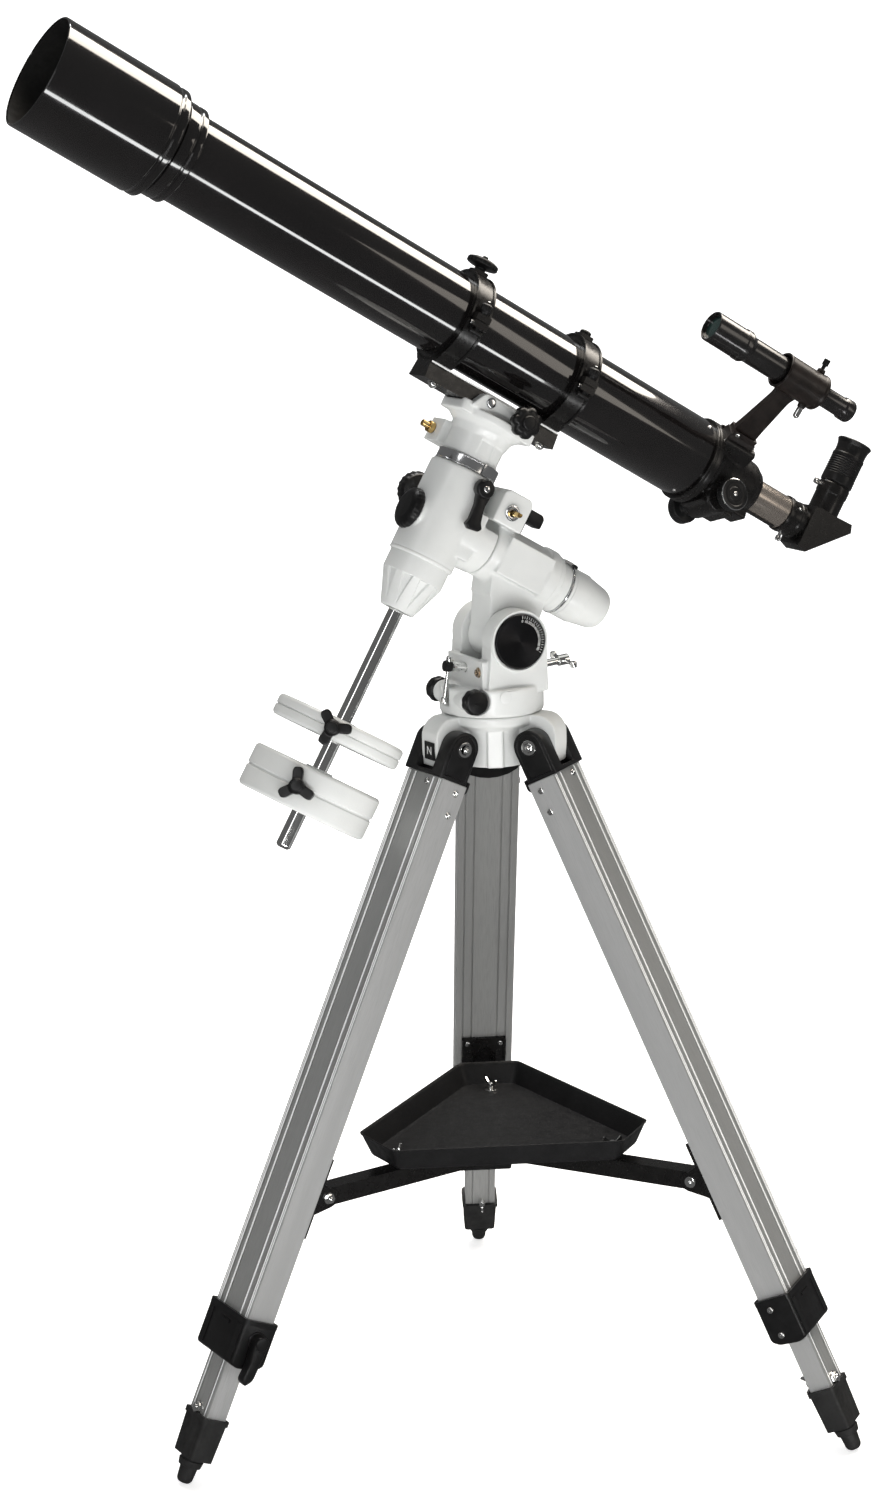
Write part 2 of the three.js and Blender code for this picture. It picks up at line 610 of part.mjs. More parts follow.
function aboutShaft(body, turn) {
  return body.translate([-DEC_X, 0, 0]).rotate([0, 0, turn]).translate([DEC_X, 0, 0]);
}

function makeWeight(top, end, turn) {
  const profile = [
    [SHAFT_R + GAP, end], [WEIGHT_R - 2.5, end], [WEIGHT_R, end + 2.5],
    [WEIGHT_R, top - 2.5], [WEIGHT_R - 2.5, top], [SHAFT_R + GAP, top], [SHAFT_R + GAP, end],
  ];
  const body = turned(profile, 'z', [DEC_X, 0, 0], ROUND);
  const tapping = rod(5.5, -WEIGHT_R - 1, 0, 'y', [DEC_X, 0, (top + end) / 2], 12);
  return aboutShaft(cut(body, tapping), turn);
}

// A three-armed clamp knob whose screw runs in to the shaft.
function makeWeightKnob(top, end, turn, armTurn) {
  const at = [DEC_X, 0, (top + end) / 2];
  const screw = rod(5, -WEIGHT_R - 4, -SHAFT_R - 1, 'y', at, 12);
  const arms = plate(lobedOutline(22, 13, 3, 24), WEIGHT_R + 3, WEIGHT_R + 13, 'y');
  const star = arms.rotate([0, armTurn, 0]).translate(at);
  return aboutShaft(union(screw, star), turn);
}

// ---------------------------------------------------------------- saddle
function makeDecCircle() {
  return sleeve(DEC_R - 2, 12, DEC_TOP + GAP, SADDLE_BASE - GAP, 'z', [DEC_X, 0, 0], ROUND);
}

const SADDLE_HALF = 34;
const SADDLE_KNOB_X = DEC_X + 17;
function makeSaddle() {
  const cone = turned([
    [0, SADDLE_BASE], [33, SADDLE_BASE], [36, SADDLE_BASE + 14],
    [50, SADDLE_BASE + 30], [50, BAR_BOTTOM - 2], [0, BAR_BOTTOM - 2],
  ], 'z', [DEC_X, 0, 0], ROUND);
  const bed = block(DEC_X - 58, DEC_X + 58, -SADDLE_HALF, SADDLE_HALF, SADDLE_TOP - 9, BAR_BOTTOM + 12);
  const trough = outline([
    [-23 - GAP, BAR_BOTTOM - GAP], [23 + GAP, BAR_BOTTOM - GAP], [17, BAR_TOP + 4], [-17, BAR_TOP + 4],
  ]);
  const channel = plate(trough, DEC_X - 60, DEC_X + 60, 'x');
  const wormBox = block(DEC_X - 40, DEC_X + 26, 20, DEC_WORM_Y + 12, DEC_WORM_Z - 14, DEC_WORM_Z + 14);
  const wormBore = rod(6, DEC_X - 60, DEC_X + 60, 'x', [0, DEC_WORM_Y, DEC_WORM_Z], 12);
  const clampBore = rod(4.5, -60, 0, 'y', [SADDLE_KNOB_X, 0, BAR_BOTTOM + 6], 12);
  return cut(union(cone, bed, wormBox), channel, wormBore, clampBore);
}

function makeSaddleKnob() {
  const at = [SADDLE_KNOB_X, 0, BAR_BOTTOM + 6];
  const screw = rod(4, -56, -SADDLE_HALF + 8, 'y', at, 12);
  const knob = plate(lobedOutline(19.5, 4, 6, 36), SADDLE_HALF + 17, SADDLE_HALF + 31, 'y').translate(at);
  return union(screw, knob);
}

function makeDecWorm() {
  const at = [0, DEC_WORM_Y, DEC_WORM_Z];
  const shaft = rod(4, DEC_X - 56, DEC_X + 42, 'x', at, 12);
  const collar = rod(7, DEC_X - 47, DEC_X - 40.4, 'x', at, SMALL);
  return union(shaft, collar);
}

// ---------------------------------------------------------------- dovetail bar and tube rings
function makeDovetail() {
  const section = outline([[-22, BAR_BOTTOM], [22, BAR_BOTTOM], [18, BAR_TOP], [-18, BAR_TOP]]);
  return plate(section, BAR_FRONT, BAR_REAR, 'x');
}

function makeRingHalf(x, side) {
  const [from, to] = [x - RING_W / 2, x + RING_W / 2];
  const hoop = rod(RING_R, from, to, 'x', [0, 0, TUBE_Z], ROUND);
  const flangeTop = side > 0 ? 7 : -SPLIT_GAP / 2;
  const flangeBottom = side > 0 ? SPLIT_GAP / 2 : -7;
  const [low, high] = [TUBE_Z + flangeBottom, TUBE_Z + flangeTop];
  const flanges = block(from + 3, to - 3, -RING_R - 11, RING_R + 9, low, high);
  const pad = side > 0
    ? block(from + 4, to - 4, -9, 9, TUBE_Z + RING_R - 6, TUBE_Z + RING_R + 5)
    : block(from + 1, to - 1, -21, 21, BAR_TOP + GAP, TUBE_Z - RING_R + 14);
  const removed = side > 0
    ? block(from - 1, to + 1, -90, 90, TUBE_Z - 100, TUBE_Z + SPLIT_GAP / 2)
    : block(from - 1, to + 1, -90, 90, TUBE_Z - SPLIT_GAP / 2, TUBE_Z + 100);
  const bore = rod(TUBE_R + GAP, from - 1, to + 1, 'x', [0, 0, TUBE_Z], ROUND);
  return cut(union(hoop, flanges, pad), removed, bore);
}

// ---------------------------------------------------------------- optical tube
const tubeAxis = [0, 0, TUBE_Z];

function makeMainTube() {
  return sleeve(TUBE_R, TUBE_R - 1.5, TUBE_FRONT + GAP, TUBE_REAR - GAP, 'x', tubeAxis, ROUND);
}

function makeLensCell() {
  return turned([
    [44, CELL_FRONT], [CELL_R, CELL_FRONT], [CELL_R, TUBE_FRONT - 3], [CELL_R - 3, TUBE_FRONT],
    [44, TUBE_FRONT], [44, CELL_FRONT + 20], [46.5, CELL_FRONT + 20],
    [46.5, CELL_FRONT + 6], [44, CELL_FRONT + 6], [44, CELL_FRONT],
  ], 'x', tubeAxis, ROUND);
}

function makeObjective() {
  return turned([
    [0, CELL_FRONT + 5], [25, CELL_FRONT + 5.8], [46, CELL_FRONT + 8],
    [46, CELL_FRONT + 18], [0, CELL_FRONT + 19],
  ], 'x', tubeAxis, MEDIUM);
}

function makeDewShield() {
  const inner = DEW_R - DEW_WALL;
  return turned([
    [inner, DEW_FRONT], [DEW_R, DEW_FRONT], [DEW_R, CELL_FRONT - 2], [DEW_R - 1.5, CELL_FRONT - GAP],
    [CELL_R - 8, CELL_FRONT - GAP], [CELL_R - 8, CELL_FRONT - 4], [inner, CELL_FRONT - 6], [inner, DEW_FRONT],
  ], 'x', tubeAxis, ROUND);
}

// ---------------------------------------------------------------- focuser, diagonal and eyepiece
function makeFocuserBody() {
  const shell = turned([
    [DRAW_R + GAP, TUBE_REAR], [53, TUBE_REAR], [53, TUBE_REAR + 14],
    [46, TUBE_REAR + 30], [33, TUBE_REAR + 58],
    [28, HOUSING_REAR - 6], [26, HOUSING_REAR], [DRAW_R + GAP, HOUSING_REAR], [DRAW_R + GAP, TUBE_REAR],
  ], 'x', tubeAxis, ROUND);
  const pinionBlock = aboutTube(block(FOCUS_X - 26, FOCUS_X + 26, -20, 20, -FOCUS_DROP - 12, -20));
  const drawBore = rod(DRAW_R + GAP, TUBE_REAR - 1, HOUSING_REAR + 1, 'x', tubeAxis, MEDIUM);
  const pinionBore = aboutTube(rod(5 + GAP, -60, 60, 'y', [FOCUS_X, 0, -FOCUS_DROP], 16));
  const shoe = finderShoe(TUBE_REAR + 8, TUBE_REAR + 52, 14, 40, 55);
  return cut(union(shell, pinionBlock, shoe), drawBore, pinionBore);
}

// Turns a focuser piece about the tube axis with the whole focuser.
function aboutTube(body) {
  return body.rotate([FOCUSER_TURN, 0, 0]).translate(tubeAxis);
}

// The finder stands out from the tube axis along this direction.
const FINDER_TURN = Math.atan2(-FINDER_Y, FINDER_Z);
const FINDER_REACH = Math.hypot(FINDER_Y, FINDER_Z);
function towardsFinder(body) {
  return body.rotate([THREE.MathUtils.radToDeg(FINDER_TURN), 0, 0]).translate(tubeAxis);
}

function finderShoe(from, to, half, low, high) {
  return towardsFinder(block(from, to, -half, half, low, high));
}

function makeDrawtube() {
  return sleeve(DRAW_R, DRAW_R - 2.5, TUBE_REAR - 24, DRAW_REAR, 'x', tubeAxis, MEDIUM);
}

function makeFocusKnobs() {
  const at = [FOCUS_X, 0, -FOCUS_DROP];
  const shaft = rod(3.5, -44, 44, 'y', at, 12);
  const pinion = rod(5, -7, 7, 'y', at, 12);
  const knobs = [-1, 1].map((side) => {
    const profile = [
      [0, 34], [11, 34], [12, 40], [FOCUS_KNOB_R, 42], [FOCUS_KNOB_R, 53], [15.5, 55], [0, 55],
    ];
    const knob = turned(profile, 'y', at, SMALL);
    return side > 0 ? knob : knob.mirror([0, 1, 0]);
  });
  return aboutTube(union(shaft, pinion, ...knobs));
}

// The holder at the end of the drawtube, the mirror box and the eyepiece socket.
function makeDiagonal() {
  const holder = rod(23, DRAW_REAR + GAP, DRAW_REAR + 26, 'x', tubeAxis, MEDIUM);
  const noseTube = rod(DIAG_R - 2, DRAW_REAR - 20, DRAW_REAR + 40, 'x', tubeAxis, MEDIUM);
  const wedge = plate(outline([
    [EYE_X - 26, TUBE_Z - 26], [EYE_X - 12, TUBE_Z - 31], [EYE_X + 38, TUBE_Z + 18],
    [EYE_X + 34, TUBE_Z + 28], [EYE_X - 26, TUBE_Z + 24],
  ]), -20, 20, 'y').mirror([0, 1, 0]);
  const socket = rod(19, TUBE_Z + 20, TUBE_Z + 64, 'z', [EYE_X, 0, 0], MEDIUM);
  const lightIn = rod(14, DRAW_REAR - 30, EYE_X + 4, 'x', tubeAxis, SMALL);
  const lightUp = rod(15.9 + GAP, TUBE_Z - 2, TUBE_Z + 80, 'z', [EYE_X, 0, 0], MEDIUM);
  return cut(union(holder, noseTube, wedge, socket), lightIn, lightUp);
}

function makeEyepiece() {
  return turned([
    [0, TUBE_Z + 36], [15.9, TUBE_Z + 36], [15.9, TUBE_Z + 64 + GAP],
    [20, TUBE_Z + 64 + GAP], [20, TUBE_Z + 112],
    [22, TUBE_Z + 118], [18, TUBE_Z + 121], [0, TUBE_Z + 116],
  ], 'z', [EYE_X, 0, 0], MEDIUM);
}

// ---------------------------------------------------------------- finder
function makeFinderBracket() {
  const foot = finderShoe(TUBE_REAR + 10, TUBE_REAR + 50, 9, 55 + GAP, 62);
  const blade = outline([[-17, 60], [17, 60], [13, FINDER_REACH - 18], [-13, FINDER_REACH - 18]]);
  const upright = plate(blade, -4, 4, 'y').mirror([0, 1, 0]).translate([TUBE_REAR + 30, 0, 0]);
  const stalk = towardsFinder(upright);
  const hoop = sleeve(22, 19.3, TUBE_REAR + 2, TUBE_REAR + 62, 'x', [0, 0, FINDER_REACH], MEDIUM);
  const ring = towardsFinder(hoop);
  return union(foot, stalk, ring);
}

function makeFinder() {
  const body = turned([
    [0, FINDER_FRONT + 3], [16.5, FINDER_FRONT + 3], [16.5, FINDER_FRONT], [18.6, FINDER_FRONT],
    [18.6, FINDER_FRONT + 62], [15, FINDER_FRONT + 64],
    [15, FINDER_FRONT + 104], [19, FINDER_FRONT + 108], [19, FINDER_FRONT + 116],
    [15, FINDER_FRONT + 120], [12, FINDER_REAR - 38],
    [12, FINDER_REAR - 14], [13.5, FINDER_REAR - 12], [13.5, FINDER_REAR], [0, FINDER_REAR],
  ], 'x', [0, 0, FINDER_REACH], MEDIUM);
  return towardsFinder(body);
}

// ---------------------------------------------------------------- everything in its place
const tripod = frameAt(telescope, [TRIPOD_X, 0, 0]);
place(tripod, 'tripod_hub', makeHub(), WHITE_CAST);
makeLegs(tripod);
place(tripod, 'spreader', makeSpreader(), SATIN_BLACK);
place(tripod, 'accessory_tray', makeTray(), SATIN_BLACK);

const azimuth = frameAt(tripod, [0, 0, 0], [0, 0, radians(AZIMUTH_TURN)]);
place(azimuth, 'azimuth_base', makeAzimuthBase(), WHITE_CAST);
place(azimuth, 'azimuth_knob_right', makeAzimuthKnob(-1), BLACK_PLASTIC);
place(azimuth, 'azimuth_knob_left', makeAzimuthKnob(1), BLACK_PLASTIC);
place(azimuth, 'latitude_bolt_front', makeFrontBolt(), CHROME);
place(azimuth, 'latitude_bolt_rear', makeRearBolt(), CHROME);
place(azimuth, 'latitude_scale_cap', makeScaleCap(), BLACK_PLASTIC);

const head = frameAt(azimuth, [ALT_X, 0, ALT_Z], [0, radians(LATITUDE), 0]);
place(head, 'ra_housing', makeRaHousing(), WHITE_CAST);
place(head, 'ra_setting_circle', makeRaCircle(), SILVER);
place(head, 'polar_rear_cap', makeRearCap(), WHITE_CAST);
place(head, 'ra_worm_shaft', makeRaWorm(), BLACK_PLASTIC);
place(head, 'ra_lock_lever', makeRaLockLever(), BLACK_PLASTIC);
place(head, 'dec_housing', makeDecHousing(), WHITE_CAST);
place(head, 'polar_front_cap', makePolarCap(), BLACK_PLASTIC);
place(head, 'dec_lock_lever', makeDecLockLever(), BLACK_PLASTIC);
place(head, 'counterweight_shaft', makeShaft(), CHROME);
place(head, 'counterweight_small', makeWeight(SMALL_TOP, SMALL_END, SMALL_TURN), WHITE_CAST);
place(head, 'counterweight_large', makeWeight(LARGE_TOP, LARGE_END, LARGE_TURN), WHITE_CAST);
place(head, 'counterweight_knob_small', makeWeightKnob(SMALL_TOP, SMALL_END, SMALL_TURN, 70), BLACK_PLASTIC);
place(head, 'counterweight_knob_large', makeWeightKnob(LARGE_TOP, LARGE_END, LARGE_TURN, 100), BLACK_PLASTIC);
place(head, 'dec_setting_circle', makeDecCircle(), SILVER);
place(head, 'saddle', makeSaddle(), WHITE_CAST);
place(head, 'saddle_clamp_knob', makeSaddleKnob(), BLACK_PLASTIC);
place(head, 'dec_worm_shaft', makeDecWorm(), CHROME);
place(head, 'dovetail_bar', makeDovetail(), SATIN_BLACK);
place(head, 'tube_ring_front_lower', makeRingHalf(RING_FRONT_X, -1), SATIN_BLACK);
place(head, 'tube_ring_front_upper', makeRingHalf(RING_FRONT_X, 1), SATIN_BLACK);
place(head, 'tube_ring_rear_lower', makeRingHalf(RING_REAR_X, -1), SATIN_BLACK);
place(head, 'tube_ring_rear_upper', makeRingHalf(RING_REAR_X, 1), SATIN_BLACK);
place(head, 'main_tube', makeMainTube(), GLOSS_BLACK);
place(head, 'lens_cell', makeLensCell(), SATIN_BLACK);
place(head, 'objective_lens', makeObjective(), GLASS);
place(head, 'dew_shield', makeDewShield(), GLOSS_BLACK);
place(head, 'focuser_body', makeFocuserBody(), SATIN_BLACK);
place(head, 'drawtube', makeDrawtube(), PEARL);
place(head, 'focus_knobs', makeFocusKnobs(), BLACK_PLASTIC);
place(head, 'star_diagonal', makeDiagonal(), SATIN_BLACK);
place(head, 'eyepiece', makeEyepiece(), BLACK_PLASTIC);
place(head, 'finder_bracket', makeFinderBracket(), SATIN_BLACK);
place(head, 'finder_scope', makeFinder(), GLOSS_BLACK);

export default telescope;
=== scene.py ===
# Looks of the telescope on its tripod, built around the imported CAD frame. Metres, +Z up.
# Shapes are drawn in millimetres in the same local frames as the CAD and scaled when placed.
import math

import bmesh
import bpy
from mathutils import Matrix, Vector


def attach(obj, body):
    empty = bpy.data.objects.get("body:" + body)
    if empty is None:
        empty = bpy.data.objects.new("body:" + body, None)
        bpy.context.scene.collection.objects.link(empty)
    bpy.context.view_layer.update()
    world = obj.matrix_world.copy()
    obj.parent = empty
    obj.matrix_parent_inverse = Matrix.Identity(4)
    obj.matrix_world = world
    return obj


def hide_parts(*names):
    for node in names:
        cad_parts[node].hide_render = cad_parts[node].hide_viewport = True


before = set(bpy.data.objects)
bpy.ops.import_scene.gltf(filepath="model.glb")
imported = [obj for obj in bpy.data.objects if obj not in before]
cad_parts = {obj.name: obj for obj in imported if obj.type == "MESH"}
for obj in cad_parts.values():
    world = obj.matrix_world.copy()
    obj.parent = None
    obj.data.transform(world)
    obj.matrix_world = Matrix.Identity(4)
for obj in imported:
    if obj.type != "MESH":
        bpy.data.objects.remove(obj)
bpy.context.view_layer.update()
MM = 0.001


# ------------------------------------------------------------------ frames
def shifted(x, y, z):
    return Matrix.Translation((x * MM, y * MM, z * MM))


def turned(axis, degrees):
    return Matrix.Rotation(math.radians(degrees), 4, axis)


# driving dimensions, the same values as the CAD: millimetres and degrees
TRIPOD_X = 9.8
AZIMUTH_TURN = -7.6
LATITUDE = 30.2
ALT_X, ALT_Z = 11.7, 949
LEG_HINGE = (58, 0, 812)
LEG_LEAN = 25.6
LEG_ANGLES = {"north": 180, "right": -60, "left": 60}
LEG_MID = 9.4
BOLT_X, BOLT_Z = 13, 10
CHEEK_R = 20
HUB_TOP = 861.5
POLAR_Z = 82
WORM_Z = 129
DEC_X = -136
BAR_BOTTOM, BAR_TOP = 219, 239.4
TUBE_Z = 297
FOCUSER_TURN = -17
FINDER_TURN = math.degrees(math.atan2(100, 127))
FINDER_REACH = math.hypot(100, 127)
FRONT_RING_X, REAR_RING_X = -228, -70
LEVER_Z = -715
FOOT_BOLT_Z = -815
SWING_BOLT_Y = -62

TRIPOD = shifted(TRIPOD_X, 0, 0)
AZIMUTH = TRIPOD @ turned("Z", AZIMUTH_TURN)
HEAD = AZIMUTH @ shifted(ALT_X, 0, ALT_Z) @ turned("Y", LATITUDE)
LEGS = {
    name: TRIPOD @ turned("Z", angle) @ shifted(*LEG_HINGE) @ turned("Y", -LEG_LEAN)
    for name, angle in LEG_ANGLES.items()
}
LEG_TURNS = {name: TRIPOD @ turned("Z", angle) for name, angle in LEG_ANGLES.items()}
TUBE = HEAD @ shifted(0, 0, TUBE_Z)
FOCUSER = TUBE @ turned("X", FOCUSER_TURN)
FINDER = TUBE @ turned("X", FINDER_TURN)

# places in those frames
BOLT_IN_HUB = (65.4, 0, 826.6)
AZIMUTH_SCREW = (-46, 0, 882)
ALT_AXIS = (ALT_X, 0, ALT_Z)
POLAR_AXIS = (0, 0, POLAR_Z)
RA_WORM = (-73, 0, WORM_Z)
DEC_AXIS = (DEC_X, 0, 0)
DEC_LOCK = (-126, 0, 136)
DEC_WORM = (0, 40, 181)
SADDLE_KNOB = (-119, 0, 225)
PINION = (173, 0, -38)
EYE_AXIS = (337, 0, 0)
FINDER_AXIS = (0, 0, FINDER_REACH)


def in_scene(name, data):
    obj = bpy.data.objects.new(name, data)
    bpy.context.scene.collection.objects.link(obj)
    return obj


# ------------------------------------------------------------------ shapes
class Solid:
    """A closed shape in millimetres that can be moved, joined and cut."""

    def __init__(self, bm=None):
        self.bm = bm or bmesh.new()

    def transform(self, matrix):
        self.bm.transform(matrix)
        return self

    def turn(self, axis, degrees):
        return self.transform(turned(axis, degrees))

    def move(self, x, y, z):
        return self.transform(Matrix.Translation((x, y, z)))

    def __add__(self, other):
        mesh = bpy.data.meshes.new("join")
        other.bm.to_mesh(mesh)
        joined = self.bm.copy()
        joined.from_mesh(mesh)
        bpy.data.meshes.remove(mesh)
        return Solid(joined)

    def cut(self, *tools):
        joined = Solid()
        for tool in tools:
            joined += tool
        return modified([self, joined], add_difference)

    def bevel(self, width, segments=2, angle=30):
        edges = [e for e in self.bm.edges if e.calc_face_angle(0) > math.radians(angle)]
        bmesh.ops.bevel(
            self.bm, geom=edges, offset=width, offset_type="OFFSET", segments=segments,
            profile=0.5, affect="EDGES", clamp_overlap=True,
        )
        return self


def add_difference(objects):
    modifier = objects[0].modifiers.new("cut", "BOOLEAN")
    modifier.operation = "DIFFERENCE"
    modifier.solver = "EXACT"
    modifier.use_self = True
    modifier.object = objects[1]


def add_voxels(size):
    def add(objects):
        modifier = objects[0].modifiers.new("remesh", "REMESH")
        modifier.mode = "VOXEL"
        modifier.voxel_size = size

    return add


def modified(solids, add_modifier):
    """The first solid with a modifier applied to it; the others are its helpers."""
    objects = []
    for solid in solids:
        mesh = bpy.data.meshes.new("work")
        bmesh.ops.recalc_face_normals(solid.bm, faces=solid.bm.faces[:])
        solid.bm.to_mesh(mesh)
        objects.append(in_scene("work", mesh))
    add_modifier(objects)
    depsgraph = bpy.context.evaluated_depsgraph_get()
    result = bmesh.new()
    evaluated = objects[0].evaluated_get(depsgraph)
    mesh = evaluated.to_mesh()
    result.from_mesh(mesh)
    evaluated.to_mesh_clear()
    for obj in objects:
        mesh = obj.data
        bpy.data.objects.remove(obj)
        bpy.data.meshes.remove(mesh)
    return Solid(result)


def casting(solid, voxel=1.3, relax=5):
    """Melts overlapping shapes into one body with soft fillets, as a casting has."""
    result = modified([solid], add_voxels(voxel))
    for _ in range(relax):
        bmesh.ops.smooth_vert(
            result.bm, verts=result.bm.verts[:], factor=0.5,
            use_axis_x=True, use_axis_y=True, use_axis_z=True,
        )
    return result


def rounded(points, radius, closed=True, steps=3):
    """The points with each corner replaced by a short arc."""
    if radius <= 0:
        return [Vector(p) for p in points]
    points = [Vector(p) for p in points]
    count = len(points)
    path = []
    for i, corner in enumerate(points):
        if not closed and i in (0, count - 1):
            path.append(corner)
            continue
        before, after = points[i - 1] - corner, points[(i + 1) % count] - corner
        reach = min(radius, before.length * 0.45, after.length * 0.45)
        if reach < 1e-3 or abs(before.normalized().dot(after.normalized())) > 0.985:
            path.append(corner)
            continue
        start = corner + before.normalized() * reach
        end = corner + after.normalized() * reach
        for k in range(steps + 1):
            t = k / steps
            path.append(start * (1 - t) ** 2 + corner * 2 * t * (1 - t) + end * t * t)
    return path


# turns a shape drawn about z so that it lies along each axis
AXES = {
    "z": Matrix.Identity(4),
    "x": Matrix(((0, 0, 1, 0), (1, 0, 0, 0), (0, 1, 0, 0), (0, 0, 0, 1))),
    "y": Matrix(((0, 1, 0, 0), (0, 0, 1, 0), (1, 0, 0, 0), (0, 0, 0, 1))),
}


def lathe(profile, axis="z", at=(0, 0, 0), fillet=0.8, steps=64, shape=None):
    """A profile of (radius, distance) pairs turned about an axis; shape may vary the radius."""
    open_ends = profile[0][0] == 0 and profile[-1][0] == 0
    path = rounded(profile, fillet, closed=not open_ends)
    bm = bmesh.new()
    rings = []
    for radius, height in path:
        if radius < 1e-6:
            rings.append([bm.verts.new((0, 0, height))])
            continue
        ring = []
        for k in range(steps):
            angle = 2 * math.pi * k / steps
            r = shape(angle, radius, height) if shape else radius
            ring.append(bm.verts.new((r * math.cos(angle), r * math.sin(angle), height)))
        rings.append(ring)
    pairs = list(zip(rings, rings[1:]))
    if not open_ends:
        pairs.append((rings[-1], rings[0]))
    for low, high in pairs:
        for k in range(steps):
            n = (k + 1) % steps
            corners = [low[k % len(low)], low[n % len(low)], high[n % len(high)], high[k % len(high)]]
            unique = list(dict.fromkeys(corners))
            if len(unique) > 2:
                bm.faces.new(unique)
    return Solid(bm).transform(AXES[axis]).move(*at)


def rod(radius, start, end, axis="z", at=(0, 0, 0), fillet=0.6, steps=32):
    return lathe([(0, start), (radius, start), (radius, end), (0, end)], axis, at, fillet, steps)


def sleeve(outer, inner, start, end, axis="z", at=(0, 0, 0), fillet=0.5, steps=64):
    return lathe([(inner, start), (outer, start), (outer, end), (inner, end)], axis, at, fillet, steps)


def slab(points, start, end, axis="z", bevel=0.8, corner=0, segments=2):
    """An outline given thickness. It lies in x,y for axis z, x,z for axis y and y,z for axis x."""
    bm = bmesh.new()
    path = rounded(points, corner, steps=5)
    low = [bm.verts.new((p[0], p[1], start)) for p in path]
    high = [bm.verts.new((p[0], p[1], end)) for p in path]
    bm.faces.new(low[::-1])
    bm.faces.new(high)
    for k in range(len(path)):
        n = (k + 1) % len(path)
        bm.faces.new((low[k], low[n], high[n], high[k]))
    solid = Solid(bm)
    if bevel > 0:
        solid.bevel(bevel, segments)
    if axis == "y":
        solid.transform(Matrix(((1, 0, 0, 0), (0, 0, 1, 0), (0, 1, 0, 0), (0, 0, 0, 1))))
    if axis == "x":
        solid.transform(AXES["x"])
    bmesh.ops.recalc_face_normals(solid.bm, faces=solid.bm.faces[:])
    return solid


def box(x0, x1, y0, y1, z0, z1, bevel=0.8, segments=2):
    return slab([(x0, y0), (x1, y0), (x1, y1), (x0, y1)], z0, z1, "z", bevel, 0, segments)


def both_sides(near, far):
    """The same span of y on the right and on the left, each from low to high."""
    return (-far, -near), (near, far)


def box_pair(x0, x1, near, far, *rest):
    return box(x0, x1, -far, -near, *rest) + box(x0, x1, near, far, *rest)


def rounded_box(width, height, radius):
    w, h = width / 2, height / 2
    return rounded([(-w, -h), (w, -h), (w, h), (-w, h)], radius * 1.3, steps=5)


def arc(cx, cy, radius, start, end, steps=16):
    angles = [math.radians(start + (end - start) * k / steps) for k in range(steps + 1)]
    return [(cx + radius * math.cos(a), cy + radius * math.sin(a)) for a in angles]


def pipe(points, radius, steps=12, closed=False):
    """A round bar along a path of points, with flat ends."""
    bm = bmesh.new()
    points = [Vector(p) for p in points]
    count = len(points)
    rings = []
    side = None
    for i, p in enumerate(points):
        before = points[i - 1] if i or closed else p
        after = points[(i + 1) % count] if i < count - 1 or closed else p
        along = (after - before).normalized()
        if side is None:
            side = along.orthogonal().normalized()
        side = (side - along * side.dot(along)).normalized()
        other = along.cross(side)
        rings.append([
            bm.verts.new(p + (side * math.cos(a) + other * math.sin(a)) * radius)
            for a in (2 * math.pi * k / steps for k in range(steps))
        ])
    pairs = list(zip(rings, rings[1:]))
    if closed:
        pairs.append((rings[-1], rings[0]))
    for low, high in pairs:
        for k in range(steps):
            n = (k + 1) % steps
            bm.faces.new((low[k], low[n], high[n], high[k]))
    if not closed:
        bm.faces.new(rings[0][::-1])
        bm.faces.new(rings[-1])
    return Solid(bm)


def along(points_from, points_to):
    """The transform that puts a shape drawn about +Z onto a line between two points."""
    start, end = Vector(points_from), Vector(points_to)
    turn = Vector((0, 0, 1)).rotation_difference(end - start).to_matrix().to_4x4()
    return Matrix.Translation(start) @ turn


def on_face(point, direction, solid):
    """Puts hardware drawn about +Z onto a face."""
    return solid.transform(along(point, Vector(point) + Vector(direction)))


# Small hardware, drawn with its head up +Z and its seat at z = 0.
def pan_screw(radius=4.2, height=2.6, cross=True):
    head = lathe(
        [(0, -1), (radius, -1), (radius, height * 0.35), (radius * 0.78, height * 0.85), (0, height)],
        fillet=radius * 0.4, steps=28,
    )
    if not cross:
        return head
    wide, thin = radius * 0.62, radius * 0.11
    slots = [box(-wide, wide, -thin, thin, height * 0.3, height + 2, 0).turn("Z", a) for a in (20, 110)]
    return head.cut(*slots)


def hex_head(radius=6, height=4):
    head = slab(arc(0, 0, radius, 0, 300, 5), 0.8, height, "z", 0.5)
    top = radius * 0.5
    crown = lathe([(0, 0.5), (top, 0.5), (top, height + 1.6), (0, height + 2.2)], steps=20)
    washer = rod(radius * 1.25, -0.5, 1, fillet=0.4)
    return head + crown + washer


def thumb_screw(radius=4.5, stem=5, head=7, thread=2.2):
    grip = lathe(
        [(0, stem), (radius, stem), (radius, stem + head), (0, stem + head)], fillet=0.8, steps=72,
        shape=lambda a, r, h: r * (1 + 0.05 * math.cos(18 * a)) if r > radius * 0.8 else r,
    )
    neck = rod(thread, -3, stem + 1, fillet=0.3, steps=20)
    return grip + neck


def wing_screw(span=12, stem=4):
    neck = lathe(
        [(0, -3), (3.2, -3), (3.2, stem), (4.4, stem + 1), (4, stem + 5), (0, stem + 6)], fillet=0.8,
        steps=24
    )
    wings = slab(
        [
            (-span, 9), (-span + 2, 11), (-4, 5), (4, 5), (span - 2, 11), (span, 9), (span - 1, 4),
            (3, 0), (-3, 0), (-span + 1, 4)
        ],
        -1.1, 1.1, "y", 0.7, 1.5
    ).move(0, 0, stem)
    return neck + wings


